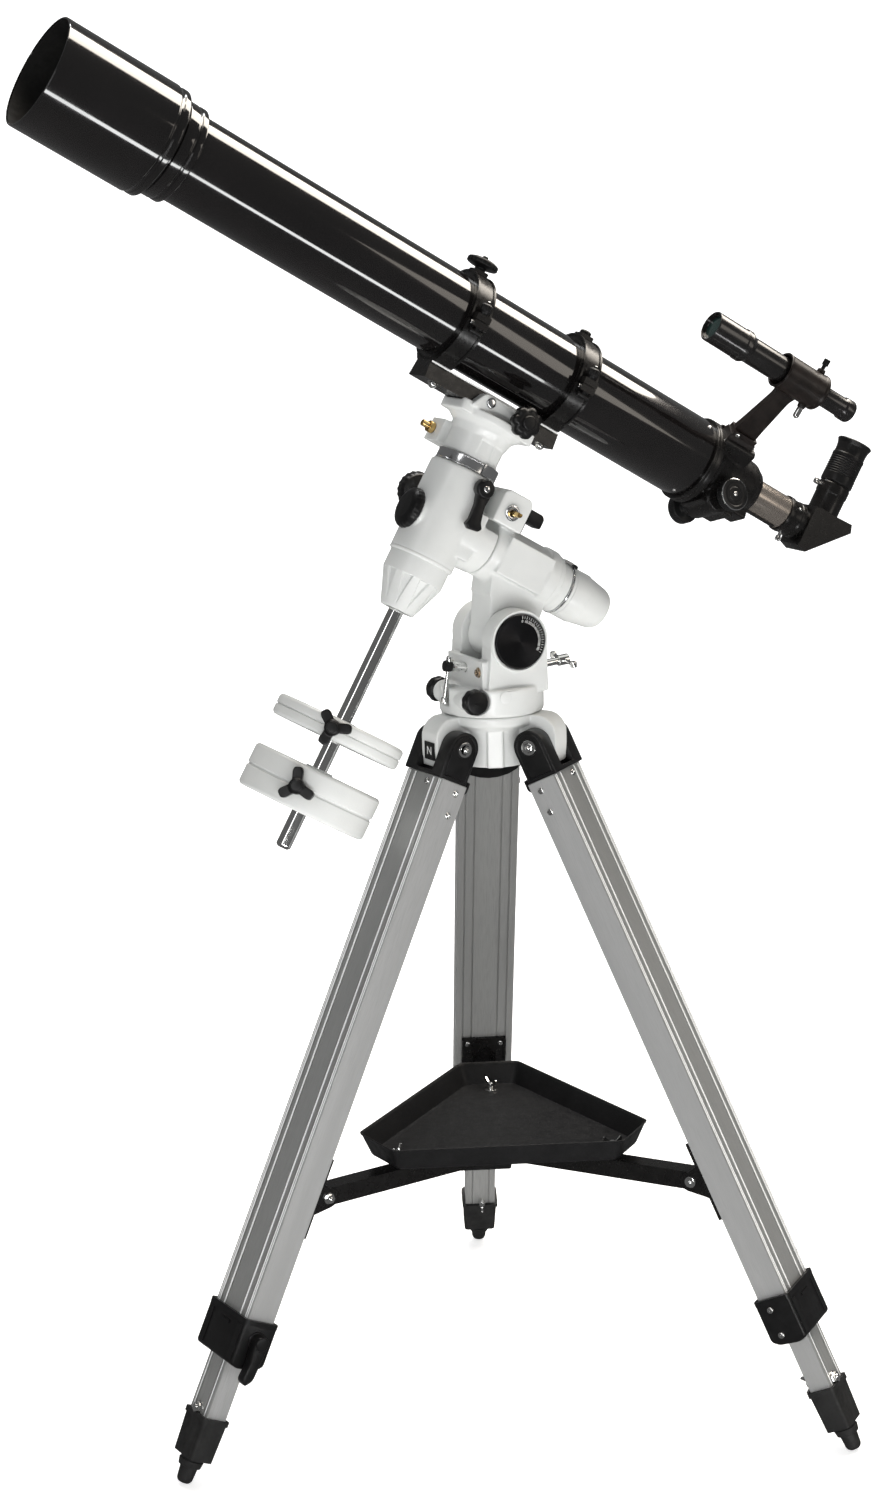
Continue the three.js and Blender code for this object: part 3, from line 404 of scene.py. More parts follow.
# ------------------------------------------------------------------ materials
def finish(
    name, color, metallic=0.0, roughness=(0.3, 0.4), patch=90, tone=0.05, coat=0.0, coat_roughness=0.05,
    bump=(700, 0.03, 0.05), stretch=(1, 1, 1), grain=None, specks=None, specular=0.5,
):
    """A procedural surface: uneven tone and roughness, a fine relief, and optional fine grain or specks."""
    material = bpy.data.materials.new(name)
    material.use_nodes = True
    nodes, links = material.node_tree.nodes, material.node_tree.links
    shader = nodes["Principled BSDF"]
    shader.inputs["Metallic"].default_value = metallic
    shader.inputs["Specular IOR Level"].default_value = specular
    shader.inputs["Coat Weight"].default_value = coat
    shader.inputs["Coat Roughness"].default_value = coat_roughness
    coordinates = nodes.new("ShaderNodeTexCoord")
    mapping = nodes.new("ShaderNodeMapping")
    mapping.inputs["Scale"].default_value = stretch
    links.new(coordinates.outputs["Object"], mapping.inputs["Vector"])

    def noise(scale, detail, source=mapping):
        node = nodes.new("ShaderNodeTexNoise")
        node.inputs["Scale"].default_value = scale
        node.inputs["Detail"].default_value = detail
        links.new(source.outputs[0 if source is mapping else "Object"], node.inputs["Vector"])
        return node.outputs["Fac"]

    def ramp(source, low, high, first, last):
        node = nodes.new("ShaderNodeMapRange")
        node.inputs["From Min"].default_value = low
        node.inputs["From Max"].default_value = high
        node.inputs["To Min"].default_value = first
        node.inputs["To Max"].default_value = last
        links.new(source, node.inputs["Value"])
        return node.outputs["Result"]

    def mix(factor, first, second):
        node = nodes.new("ShaderNodeMix")
        node.data_type = "RGBA"
        links.new(factor, node.inputs["Factor"])
        for key, value in (("A", first), ("B", second)):
            socket = [s for s in node.inputs if s.name == key and s.type == "RGBA"][0]
            if hasattr(value, "is_linked"):
                links.new(value, socket)
            else:
                socket.default_value = (*value, 1)
        return [s for s in node.outputs if s.type == "RGBA"][0]

    span = (0.35, 0.65)  # of the noise values, from which the tone and the roughness are taken
    broad = noise(patch, 4)
    dark = tuple(c * (1 - tone) for c in color)
    light = tuple(min(1, c * (1 + tone)) for c in color)
    tint = mix(ramp(broad, *span, 0, 1), dark, light)
    if grain:
        scale, amount = grain
        fine = noise(scale, 2)
        deep = tuple(c * (1 - amount) for c in color)
        tint = mix(ramp(fine, 0.5, 0.62, 0, 1), tint, deep)
    if specks:
        scale, level, shade = specks
        dots = noise(scale, 1, coordinates)
        tint = mix(ramp(dots, level, level + 0.05, 0, 1), tint, shade)
    links.new(tint, shader.inputs["Base Color"])
    wear = noise(patch * 2.3, 5)
    links.new(ramp(wear, *span, *roughness), shader.inputs["Roughness"])
    scale, distance, strength = bump
    relief = nodes.new("ShaderNodeBump")
    relief.inputs["Strength"].default_value = strength
    relief.inputs["Distance"].default_value = distance * MM
    links.new(noise(scale, 3), relief.inputs["Height"])
    links.new(relief.outputs["Normal"], shader.inputs["Normal"])
    return material


WHITE = finish(
    "white_enamel", (0.67, 0.685, 0.675), roughness=(0.3, 0.42), patch=25, tone=0.025, coat=0.35,
    coat_roughness=0.12, bump=(480, 0.35, 0.35), specks=(1500, 0.74, (0.55, 0.56, 0.55))
)
GLOSS = finish(
    "gloss_black_paint", (0.0045, 0.004, 0.004), roughness=(0.09, 0.14), patch=12, tone=0.2, coat=1.0,
    coat_roughness=0.03, bump=(60, 0.02, 0.06),
)
SATIN = finish(
    "satin_black_coat", (0.006, 0.0056, 0.0055), roughness=(0.24, 0.34), patch=60, tone=0.2, coat=0.12,
    coat_roughness=0.15, bump=(1300, 0.05, 0.2), specular=0.32,
)
PLASTIC = finish(
    "black_moulded_plastic", (0.006, 0.006, 0.0063), roughness=(0.28, 0.38), patch=70, tone=0.2,
    bump=(1800, 0.05, 0.25), specular=0.34,
)
TRAY = finish(
    "black_grained_coat", (0.007, 0.007, 0.0075), roughness=(0.4, 0.55), patch=40, tone=0.2,
    bump=(2200, 0.12, 0.5), specks=(2400, 0.63, (0.035, 0.035, 0.037)), specular=0.3,
)
RUBBER = finish(
    "black_rubber", (0.012, 0.012, 0.012), roughness=(0.55, 0.72), patch=50, tone=0.25, bump=(900, 0.1, 0.3),
)
INSIDE = finish(
    "matt_black_inside", (0.006, 0.0055, 0.005), roughness=(0.7, 0.85), patch=60, tone=0.25,
    bump=(800, 0.1, 0.3)
)
ALUMINIUM = finish(
    "anodised_aluminium", (0.37, 0.375, 0.37), metallic=0.5, roughness=(0.3, 0.38), patch=30, tone=0.05,
    stretch=(1, 1, 0.03), bump=(2600, 0.02, 0.2), grain=(1400, 0.1), specks=(1900, 0.7, (0.24, 0.24, 0.24)),
)
# Painted light: a lighter copy of the anodised aluminium for the leg side faces, standing in for the light
# that falls on them.
PAINTED_LIT_ALUMINIUM = finish(
    "painted_lit_side_aluminium", (0.45, 0.455, 0.455), metallic=0.4, roughness=(0.3, 0.38), patch=30,
    tone=0.06, stretch=(1, 1, 0.03), bump=(2600, 0.02, 0.2), grain=(1400, 0.08)
)
# Near-white strips: painted highlights that stand in for the glints along the leg ridges and the dovetail's
# top edges.
PAINTED_GLINT = finish(
    "painted_highlight_strip", (0.93, 0.94, 0.94), metallic=0.1, roughness=(0.3, 0.4), patch=40, tone=0.05,
    stretch=(1, 1, 0.05), bump=(1500, 0.02, 0.1),
)
CHROME = finish(
    "chrome_plate", (0.83, 0.83, 0.82), metallic=1.0, roughness=(0.05, 0.1), patch=80, tone=0.03,
    bump=(400, 0.01, 0.08),
)
SILVER = finish(
    "turned_silver", (0.84, 0.85, 0.86), metallic=1.0, roughness=(0.16, 0.2), patch=30, tone=0.03,
    bump=(200, 0.005, 0.04),
)
PEARL = finish(
    "pearl_anodising", (0.48, 0.43, 0.385), metallic=0.9, roughness=(0.2, 0.28), patch=40, tone=0.05,
    stretch=(0.1, 1, 1), bump=(900, 0.02, 0.1),
)
BRASS = finish(
    "machined_brass", (0.72, 0.50, 0.20), metallic=1.0, roughness=(0.16, 0.26), patch=120, tone=0.12,
    bump=(700, 0.03, 0.15),
)
BRONZE = finish(
    "tarnished_plate", (0.42, 0.34, 0.26), metallic=1.0, roughness=(0.14, 0.24), patch=90, tone=0.15,
    bump=(500, 0.03, 0.15),
)
PRINT = finish("white_print", (0.75, 0.76, 0.75), roughness=(0.4, 0.5), patch=200, tone=0.04)
LENS = finish(
    "coated_glass", (0.012, 0.03, 0.028), roughness=(0.02, 0.05), patch=20, tone=0.3, coat=1.0,
    coat_roughness=0.02, bump=(20, 0.01, 0.02)
)


def spun(material, amount):
    """Turns a finish into one spun on a lathe about the local Y axis, with fan-shaped reflections."""
    nodes, links = material.node_tree.nodes, material.node_tree.links
    shader = nodes["Principled BSDF"]
    tangent = nodes.new("ShaderNodeTangent")
    tangent.direction_type = "RADIAL"
    tangent.axis = "Y"
    shader.inputs["Anisotropic"].default_value = amount
    links.new(tangent.outputs["Tangent"], shader.inputs["Tangent"])
    return material


SPUN_BLACK = spun(finish(
    "spun_black_disc", (0.03, 0.03, 0.032), metallic=0.9, roughness=(0.2, 0.26), patch=30, tone=0.1,
    bump=(700, 0.01, 0.05),
), 0.85)
FINDER_COAT = finish(
    "pebbled_brown_black_coat", (0.010, 0.0072, 0.0062), roughness=(0.28, 0.4), patch=80, tone=0.3,
    bump=(900, 0.15, 0.35), specks=(1400, 0.68, (0.035, 0.026, 0.022)), specular=0.35,
)
FINDER_PAINT = finish(
    "finder_black_paint", (0.007, 0.0065, 0.0065), roughness=(0.2, 0.28), patch=30, tone=0.2, coat=0.5,
    coat_roughness=0.1, bump=(500, 0.02, 0.1),
)


# ------------------------------------------------------------------ placing pieces
def piece(name, solid, place, body, material, replaces=(), sharp=32):
    """A finished piece: its mesh in metres in its own frame, riding on a CAD body."""
    bm = solid.bm
    bmesh.ops.remove_doubles(bm, verts=bm.verts[:], dist=1e-4)
    bmesh.ops.recalc_face_normals(bm, faces=bm.faces[:])
    bm.transform(Matrix.Scale(MM, 4))
    mesh = bpy.data.meshes.new(name)
    bm.to_mesh(mesh)
    bm.free()
    for polygon in mesh.polygons:
        polygon.use_smooth = True
    mesh.set_sharp_from_angle(angle=math.radians(sharp))
    mesh.materials.append(material)
    obj = in_scene(name, mesh)
    obj.matrix_world = place
    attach(obj, body)
    if replaces:
        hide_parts(*replaces)
    return obj


def print_marks(name, marks, place, body):
    """Printed figures: each mark is (text, size in mm, transform), raised by a hair."""
    solid = Solid()
    for text, size, matrix in marks:
        curve = bpy.data.curves.new("mark", "FONT")
        curve.body = text
        curve.size = size
        curve.align_x = "CENTER"
        curve.align_y = "CENTER"
        curve.extrude = 0.12
        obj = in_scene("mark", curve)
        bpy.context.view_layer.update()
        evaluated = obj.evaluated_get(bpy.context.evaluated_depsgraph_get())
        mesh = evaluated.to_mesh()
        glyph = bmesh.new()
        glyph.from_mesh(mesh)
        evaluated.to_mesh_clear()
        bpy.data.objects.remove(obj)
        bpy.data.curves.remove(curve)
        solid += Solid(glyph).transform(matrix)
    return piece(name, solid, place, body, PRINT, sharp=20)


# ------------------------------------------------------------------ camera, floor and light
CAMERA_YAW, CAMERA_PITCH, CAMERA_ROLL = 33.1, 12.5, -1.4
CAMERA_AT = (-1.7446, -2.5775, 1.5035)
CAMERA_LENS = 64.27


def aim_camera():
    yaw, pitch, roll = (math.radians(a) for a in (CAMERA_YAW, CAMERA_PITCH, CAMERA_ROLL))
    forward = Vector((math.sin(yaw) * math.cos(pitch), math.cos(yaw) * math.cos(pitch), -math.sin(pitch)))
    level = Vector((math.cos(yaw), -math.sin(yaw), 0))
    up = level.cross(forward)
    right = level * math.cos(roll) + up * math.sin(roll)
    top = up * math.cos(roll) - level * math.sin(roll)
    data = bpy.data.cameras.new("camera")
    data.lens = CAMERA_LENS
    data.sensor_width = 36
    data.clip_end = 60
    camera = in_scene("camera", data)
    rotation = Matrix((right, top, -forward)).transposed().to_4x4()
    camera.matrix_world = Matrix.Translation(CAMERA_AT) @ rotation
    bpy.context.scene.camera = camera


def make_backdrop():
    """A pale floor that curves up into a wall behind the object."""
    bm = bmesh.new()
    profile = [(-9, 0), (3.2, 0)] + arc(3.2, 2, 2, -90, 0, 12)[1:] + [(5.2, 9)]
    rows = []
    for along_view, height in profile:
        row = [bm.verts.new((side, along_view, height)) for side in (-12, 12)]
        rows.append(row)
    for low, high in zip(rows, rows[1:]):
        bm.faces.new((low[0], low[1], high[1], high[0]))
    mesh = bpy.data.meshes.new("backdrop")
    bm.to_mesh(mesh)
    bm.free()
    for polygon in mesh.polygons:
        polygon.use_smooth = True
    backdrop = in_scene("backdrop", mesh)
    backdrop.matrix_world = turned("Z", -CAMERA_YAW) @ Matrix.Translation((0, 0, -0.001))
    material = finish(
        "pale_paper", (0.86, 0.86, 0.86), roughness=(0.8, 0.9), patch=1.5, tone=0.01,
        bump=(40, 0.5, 0.02)
    )
    shader = material.node_tree.nodes["Principled BSDF"]
    shader.inputs["Emission Color"].default_value = (1, 1, 1, 1)
    shader.inputs["Emission Strength"].default_value = 0.62
    mesh.materials.append(material)
    backdrop.visible_glossy = False


def area_light(name, place, size, energy, color=(1, 1, 1)):
    data = bpy.data.lights.new(name, "AREA")
    data.shape = "RECTANGLE"
    data.size, data.size_y = size
    data.energy = energy
    data.color = color
    in_scene(name, data).matrix_world = place


def facing(at, target):
    """The place of a light that shines from one point towards another."""
    direction = Vector(target) - Vector(at)
    return Matrix.Translation(at) @ direction.to_track_quat("-Z", "Y").to_matrix().to_4x4()


def beside_tube(turn, distance):
    """The place of a long light parallel to the telescope tube and turned about it."""
    return TUBE @ turned("X", turn) @ Matrix.Translation((-0.3, 0, distance))


def make_lights():
    world = bpy.data.worlds.new("studio")
    world.use_nodes = True
    nodes, links = world.node_tree.nodes, world.node_tree.links
    strengths = {"soft": 0.17, "mirrored": 0.12, "seen": 1.0}
    shades = {}
    for name, strength in strengths.items():
        shades[name] = nodes.new("ShaderNodeBackground")
        shades[name].inputs["Color"].default_value = (1, 1, 1, 1)
        shades[name].inputs["Strength"].default_value = strength
    ray = nodes.new("ShaderNodeLightPath")
    result = shades["soft"].outputs[0]
    for kind, name in (("Is Glossy Ray", "mirrored"), ("Is Camera Ray", "seen")):
        blend = nodes.new("ShaderNodeMixShader")
        links.new(ray.outputs[kind], blend.inputs[0])
        links.new(result, blend.inputs[1])
        links.new(shades[name].outputs[0], blend.inputs[2])
        result = blend.outputs[0]
    links.new(result, nodes["World Output"].inputs["Surface"])
    nodes.remove(nodes["Background"])
    bpy.context.scene.world = world
    bpy.context.scene.view_settings.view_transform = "Standard"
    warm = (1.0, 0.92, 0.82)
    centre = (-0.05, 0.0, 1.0)
    area_light("tube_top", beside_tube(-4, 1.5), (2.6, 0.8), 62, warm)
    area_light("tube_low", beside_tube(124, 1.8), (2.4, 0.2), 16)
    area_light("front_left", facing((-3.0, -1.6, 2.2), centre), (0.6, 2.2), 13)
    area_light("front_right", facing((1.6, -2.8, 1.6), centre), (0.8, 1.8), 8, warm)
    area_light("wall_wash", facing((1.0, 1.2, 4.2), (2.4, 3.8, 0.6)), (3.0, 1.0), 120)


aim_camera()
make_backdrop()
make_lights()


# ------------------------------------------------------------------ tripod
def round_lobe():
    """One arm of the tripod hub, drawn along +X."""
    side = [(20, 804), (88, 804), (90, 824)] + arc(66, 837.2, 24, 0, 90) + [(20, 861.2)]
    return slab(side, -16.5, 16.5, "y", 3, segments=3)


def make_hub():
    body = lathe(
        [(16, 799), (46, 799), (46, 843), (60, 850.5), (60, HUB_TOP), (16, HUB_TOP)], fillet=2, steps=72
    )
    ribs = [box(38, 48, -9.5, 9.5, 799, 852, 1).turn("Z", a) for a in (0, 120, 240)]
    for shape in [round_lobe().turn("Z", a) for a in LEG_ANGLES.values()] + ribs:
        body += shape
    pockets = []
    for angle in LEG_ANGLES.values():
        for low, high in both_sides(16.5, 40.5):
            clear = rod(22.5, low, high, "y", BOLT_IN_HUB, fillet=0, steps=64)
            clear += box(42.9, 130, low, high, 752, BOLT_IN_HUB[2], 0)
            pockets.append(clear.turn("Z", angle))
    bore = rod(16, 772, 870, fillet=0)
    hub = casting(body.cut(bore, *pockets), 1.1, 3)
    piece("hub_casting", hub, TRIPOD, "tripod", WHITE, ["tripod_hub"])
    plate = box(88.6, 91.2, -8, 12, 812.6, 833.6, 0.6)
    border = box(90.8, 91.6, -7, 11, 813.6, 832.6, 0.2).cut(box(90, 92, -6.2, 10.2, 814.4, 831.8, 0))
    piece("north_label_plate", plate + border, LEG_TURNS["north"], "tripod", PLASTIC)
    stand = Matrix.Translation((91.2, 2, 823.1)) @ turned("Z", 90) @ turned("X", 90)
    print_marks("north_letter", [("N", 14, stand)], LEG_TURNS["north"], "tripod")


def head_outline(inset=0):
    """The side of a leg head: straight edges with a round top about the hinge bolt."""
    reach = CHEEK_R - inset
    low = -29.7 + inset
    return [(BOLT_X - reach, low), (BOLT_X + reach, low)] + arc(BOLT_X, BOLT_Z, reach, 0, 180, 24)


def make_leg_head(name):
    gap = box(-60, 60, -16.8, 16.8, -24.5, 60, 0)
    head = slab(head_outline(), -38, 38, "y", 0).cut(gap).bevel(1.3, 3, 25)
    for side in (-1, 1):
        rim = [Vector((x, side * 38, z)) for x, z in head_outline(4.5)]
        head += pipe(rim, 0.8, 8, closed=True)
        boss = lathe([(0, -1), (10.5, -1), (10.5, 1), (0, 1.2)], fillet=0.8, steps=40)
        head += on_face((BOLT_X, side * 38, BOLT_Z), (0, side, 0), boss)
    apron = [
        (-36, -24), (36, -24), (36, -36), (24, -45), (12, -49.5), (0, -51), (-12, -49.5), (-24, -45),
        (-36, -36)
    ]
    head += slab(apron, -12.6, -9.6, "x", 1, 2) + box(-12.4, -5, -35, 35, -29.5, -24.8, 0.6)
    head += box(-7.3, 26.1, -20, 20, -64, -28, 1)
    piece(f"leg_hinge_{name}", head, LEGS[name], "tripod", PLASTIC, [f"leg_head_{name}"])


def leg_section(depth, width, grooves, radius):
    """The outline of a leg extrusion with small grooves along its two wide faces."""
    points = []
    for face, order in ((1, grooves), (-1, grooves[::-1])):
        x = face * depth / 2
        sign = 1 if face > 0 else -1
        points += rounded(
            [(x - face * radius * 3, -sign * width / 2), (x, -sign * width / 2), (x, -sign * 5)],
            radius, False
        )[1:-1]
        for y in order:
            points += [
                (x, y - sign), (x - face * 1.4, y - sign * 0.8), (x - face * 1.4, y + sign * 0.8),
                (x, y + sign)
            ]
        points += rounded(
            [(x, sign * 5), (x, sign * width / 2), (x - face * radius * 3, sign * width / 2)], radius,
            False
        )[1:-1]
    return [tuple(p)[:2] for p in points]


def make_leg(name):
    section = leg_section(37, 75, [-28.2, -16.8, 16.8, 28.2], 2)
    upper = slab(section, -716, -30, "z", 0).cut(
        box(-16.5, 16.5, -35.5, -22.6, -720, -20, 0), box(-16.5, 16.5, 22.6, 35.5, -720, -20, 0),
        box(-16.5, 16.5, -20.6, 20.6, -720, -20, 0),
    ).move(LEG_MID, 0, 0)
    piece(f"leg_extrusion_{name}", upper, LEGS[name], "tripod", ALUMINIUM, [f"leg_upper_{name}"])
    # Thin raised strips in the near-white finish: painted highlights along the ridges of the wide face.
    glint_strips = Solid()
    for y, width in ((34, 0.9), (30.6, 1.1), (19.2, 1.4)):
        glint_strips += box_pair(27.1, 28.1, y - width, y + width, -694, -31, 0.2, 1)
    piece(f"leg_painted_highlights_{name}", glint_strips, LEGS[name], "tripod", PAINTED_GLINT)
    # Thin skins on both side faces in the lighter aluminium: painted light on the sides of the upper leg.
    sides = box_pair(-8.4, 27.2, 37.3, 37.7, -694, -31, 0.1, 1)
    piece(f"leg_painted_lit_sides_{name}", sides, LEGS[name], "tripod", PAINTED_LIT_ALUMINIUM)
    lower_section = leg_section(28, 40, [-11.4, 11.4], 2)
    lower = slab(lower_section, -834, -250, "z", 0).cut(
        box(-12, 12, -18, 18, -840, -240, 0)
    ).move(LEG_MID, 0, 0)
    piece(
        f"lower_extrusion_{name}", lower, LEGS[name], f"lower_leg_{name}", ALUMINIUM,
        [f"leg_lower_{name}"]
    )
    # Thin skins on both side faces in the lighter aluminium: painted light on the sides of the lower leg.
    sides = box_pair(-3.4, 22.2, 19.8, 20.2, -834, -290, 0.1, 1)
    piece(f"lower_painted_lit_sides_{name}", sides, LEGS[name], f"lower_leg_{name}", PAINTED_LIT_ALUMINIUM)
    # Thin raised strips in the near-white finish: painted highlights along the lower leg.
    lines = box_pair(22.9, 23.7, 13.2, 14.8, -834, -290, 0.2, 1)
    piece(f"lower_painted_highlights_{name}", lines, LEGS[name], f"lower_leg_{name}", PAINTED_GLINT)


def make_foot(name):
    shoe = slab(rounded_box(34, 46, 4), -872, -820, "z", 1.2).move(LEG_MID, 0, 0)
    for v in shoe.bm.verts:
        if v.co.z < -868:
            v.co.x = LEG_MID + (v.co.x - LEG_MID) * 0.92
            v.co.y *= 0.92
    lip = slab(rounded_box(37, 49, 5), -826, -820, "z", 1.5).move(LEG_MID, 0, 0)
    hollow = box(-14.3, 14.3, -20.3, 20.3, -834.3, -800, 0).move(LEG_MID, 0, 0)
    tip = lathe(
        [(0, -904), (7, -904), (9.5, -900), (11, -880), (15, -871), (0, -868)], fillet=2, steps=40,
    ).move(LEG_MID, 0, 0)
    collar = lathe([(0, -884), (13.5, -884), (15, -876), (0, -872)], fillet=1, steps=40).move(LEG_MID, 0, 0)
    foot = (shoe + lip).cut(hollow) + tip + collar
    turn = Matrix.Rotation(math.radians(-LEG_LEAN), 3, "Y")
    for v in foot.bm.verts:
        height = LEG_HINGE[2] + (turn @ v.co).z
        if height < 0:
            v.co.z -= height / math.cos(math.radians(LEG_LEAN))
    piece(
        f"rubber_foot_{name}", foot, LEGS[name], f"lower_leg_{name}", RUBBER,
        [f"leg_foot_{name}"]
    )


def make_clamp(name):
    side = [(-23, -696), (23, -696), (23, -748), (12, -752), (-14, -750), (-23, -744)]
    body = slab(side, -42, 42, "y", 0, 4).bevel(3, 3, 30)
    lip = slab(rounded_box(48, 86, 5), -699, -693, "z", 1.6)
    bar = box(23, 24.6, -9, 11, -709, -705.5, 0.7)
    ribs = box_pair(22, 23.8, 28, 38, -744, -702)
    boss = rod(11, 38, 43.5, "y", (0, 0, LEVER_Z), fillet=1.5, steps=40)
    clamp = (body + lip).cut(
        box(-18.8, 18.8, -37.8, 37.8, -716.3, -680, 0), box(-14.3, 14.3, -20.3, 20.3, -760, -680, 0)
    )
    clamp = (clamp + bar + ribs + boss).move(LEG_MID, 0, 0)
    piece(f"clamp_block_{name}", clamp, LEGS[name], "tripod", PLASTIC, [f"leg_clamp_{name}"])
    outline = [(-7, 8), (7, 8), (9, -4), (7, -28), (10, -46), (4, -52), (-5, -44), (-7, -24), (-9, -4)]
    lever = slab(outline, -6.5, 6.5, "y", 0, 5).bevel(2, 3, 30).move(0, 50, 0)
    lever += rod(8.5, -7.5, 7.5, "y", (0, 50, 0), fillet=1.5)
    if name == "right":
        lever.transform(Matrix.Scale(-1, 4, (0, 0, 1)))
    lever.move(LEG_MID, 0, LEVER_Z)
    piece(
        f"cam_lever_{name}", lever, LEGS[name], f"lock_lever_{name}", PLASTIC,
        [f"leg_lock_lever_{name}"]
    )


def make_leg_hardware(name):
    screws = Solid()
    for side in (-1, 1):
        bolt = hex_head(5.2, 4) + rod(9, 0, 1, fillet=0.4)
        screws += on_face((BOLT_X, side * 39, BOLT_Z), (0, side, 0), bolt)
        for t in (42, 69):
            screws += on_face((4, side * 37.5, -t), (0, side, 0), pan_screw(4.4, 2.6))
    for t in (706, 738):
        screws += on_face((LEG_MID - 6, -42, -t), (0, -1, 0), pan_screw(4.2, 2.6))
    screws += on_face((27.9, 9, -38), (1, 0, 0), pan_screw(4.4, 2.6))
    piece(f"leg_screws_{name}", screws, LEGS[name], "tripod", CHROME)
    bolts = on_face((23.4, -2, FOOT_BOLT_Z), (1, 0, 0), hex_head(6.5, 5))
    bolts += on_face((-4.6, -2, FOOT_BOLT_Z), (-1, 0, 0), wing_screw(11, 3))
    piece(f"foot_bolt_{name}", bolts, LEGS[name], f"lower_leg_{name}", CHROME)


def make_legs():
    for name in LEGS:
        make_leg_head(name)
        make_leg(name)
        make_clamp(name)
        make_foot(name)
        make_leg_hardware(name)


def loft(loops):
    """A closed skin over loops of the same number of points, closed by its first and last loop."""
    bm = bmesh.new()
    rows = [[bm.verts.new(p) for p in loop] for loop in loops]
    count = len(rows[0])
    for low, high in zip(rows, rows[1:]):
        for k in range(count):
            n = (k + 1) % count
            bm.faces.new((low[k], low[n], high[n], high[k]))
    bm.faces.new(rows[0][::-1])
    bm.faces.new(rows[-1])
    return Solid(bm)


# ------------------------------------------------------------------ spreader and tray
def make_spreader():
    body = rod(24, 298, 320, fillet=2, steps=48)
    for angle in LEG_ANGLES.values():
        arm = box(0, 265, -12, 12, 298, 320, 1).cut(box(26, 258, -10, 10, 290, 317.5, 0))
        lugs = Solid()
        outline = arc(256, 309, 12, 100, 260, 12) + [(294, 290), (272, 338)]
        for low, high in both_sides(12.4, 15.4):
            lugs += slab(outline, low, high, "y", 0.6)
        body += (arm + lugs).turn("Z", angle)
    piece("spreader_arms", body, TRIPOD, "tripod", SATIN, ["spreader"])
    for name in LEGS:
        plate = box(-13.2, -9.5, -29, 29, -590, -492, 0.8)
        flanges = box_pair(-17, -10, 26.4, 29, -590, -492)
        piece(f"arm_bracket_{name}", plate + flanges, LEGS[name], "tripod", SATIN)
        screws = Solid()
        for y, z in ((-22, -500), (-22, -580), (22, -500), (22, -580)):
            screws += on_face((-13.2, y, z), (-1, 0, 0), pan_screw(4, 2.4))
        piece(f"bracket_screws_{name}", screws, LEGS[name], "tripod", CHROME)
        pivot = on_face((256, -15.4, 309), (0, -1, 0), hex_head(5.5, 4))
        pivot += on_face((256, 15.4, 309), (0, 1, 0), hex_head(5.5, 5))
        piece(f"arm_pivot_{name}", pivot, LEG_TURNS[name], "tripod", CHROME)


def tray_loop(reach, half, z):
    points = []
    for angle in (-60, 60, 180):
        turn = math.radians(angle)
        for side in (-half, half):
            points.append((
                reach * math.cos(turn) - side * math.sin(turn), reach * math.sin(turn) + side * math.cos(turn)
            ))
    return [(p[0], p[1], z) for p in rounded(points, 7, steps=4)]


def make_tray():
    rows = (
        (165, 31, 329), (168, 31.6, 329.6), (169.5, 32.2, 331.5), (178.5, 36.8, 354),
        (180.4, 37.9, 356.4), (180.9, 38, 357.6), (180.2, 37.6, 358), (178.4, 36.9, 357),
        (176.8, 36.2, 354.5), (167.6, 31.2, 332), (164, 30.4, 331.1),
    )
    pan = loft([tray_loop(*row) for row in rows])
    boss = rod(26, 320.3, 329.4, fillet=1, steps=48)
    piece("tray_pan", pan + boss, TRIPOD, "tripod", TRAY, ["accessory_tray"], sharp=40)
    screws = Solid()
    for angle in LEG_ANGLES.values():
        washer = rod(9, 330.8, 332.2, fillet=0.5, steps=40)
        knob = wing_screw(12, 3).move(0, 0, 332).turn("Z", 35)
        screws += (washer + knob).move(150, 0, 0).turn("Z", angle)
    piece("tray_wing_screws", screws, TRIPOD, "tripod", CHROME)


# ------------------------------------------------------------------ azimuth base
def ear_outline():
    return [(ALT_X - 42, 887), (ALT_X + 38, 887)] + arc(ALT_X, ALT_Z, 37, -8, 188, 30)


def bolt_place(body, direction, z, rise):
    """A latitude bolt drawn along X from its tip, put beside the lug and rising outwards."""
    return body.turn("Y", -direction * rise).move(ALT_X + direction * 10, 0, z)


FRONT_BOLT = (-1, 909, 9.3)
REAR_BOLT = (1, 904, 5)


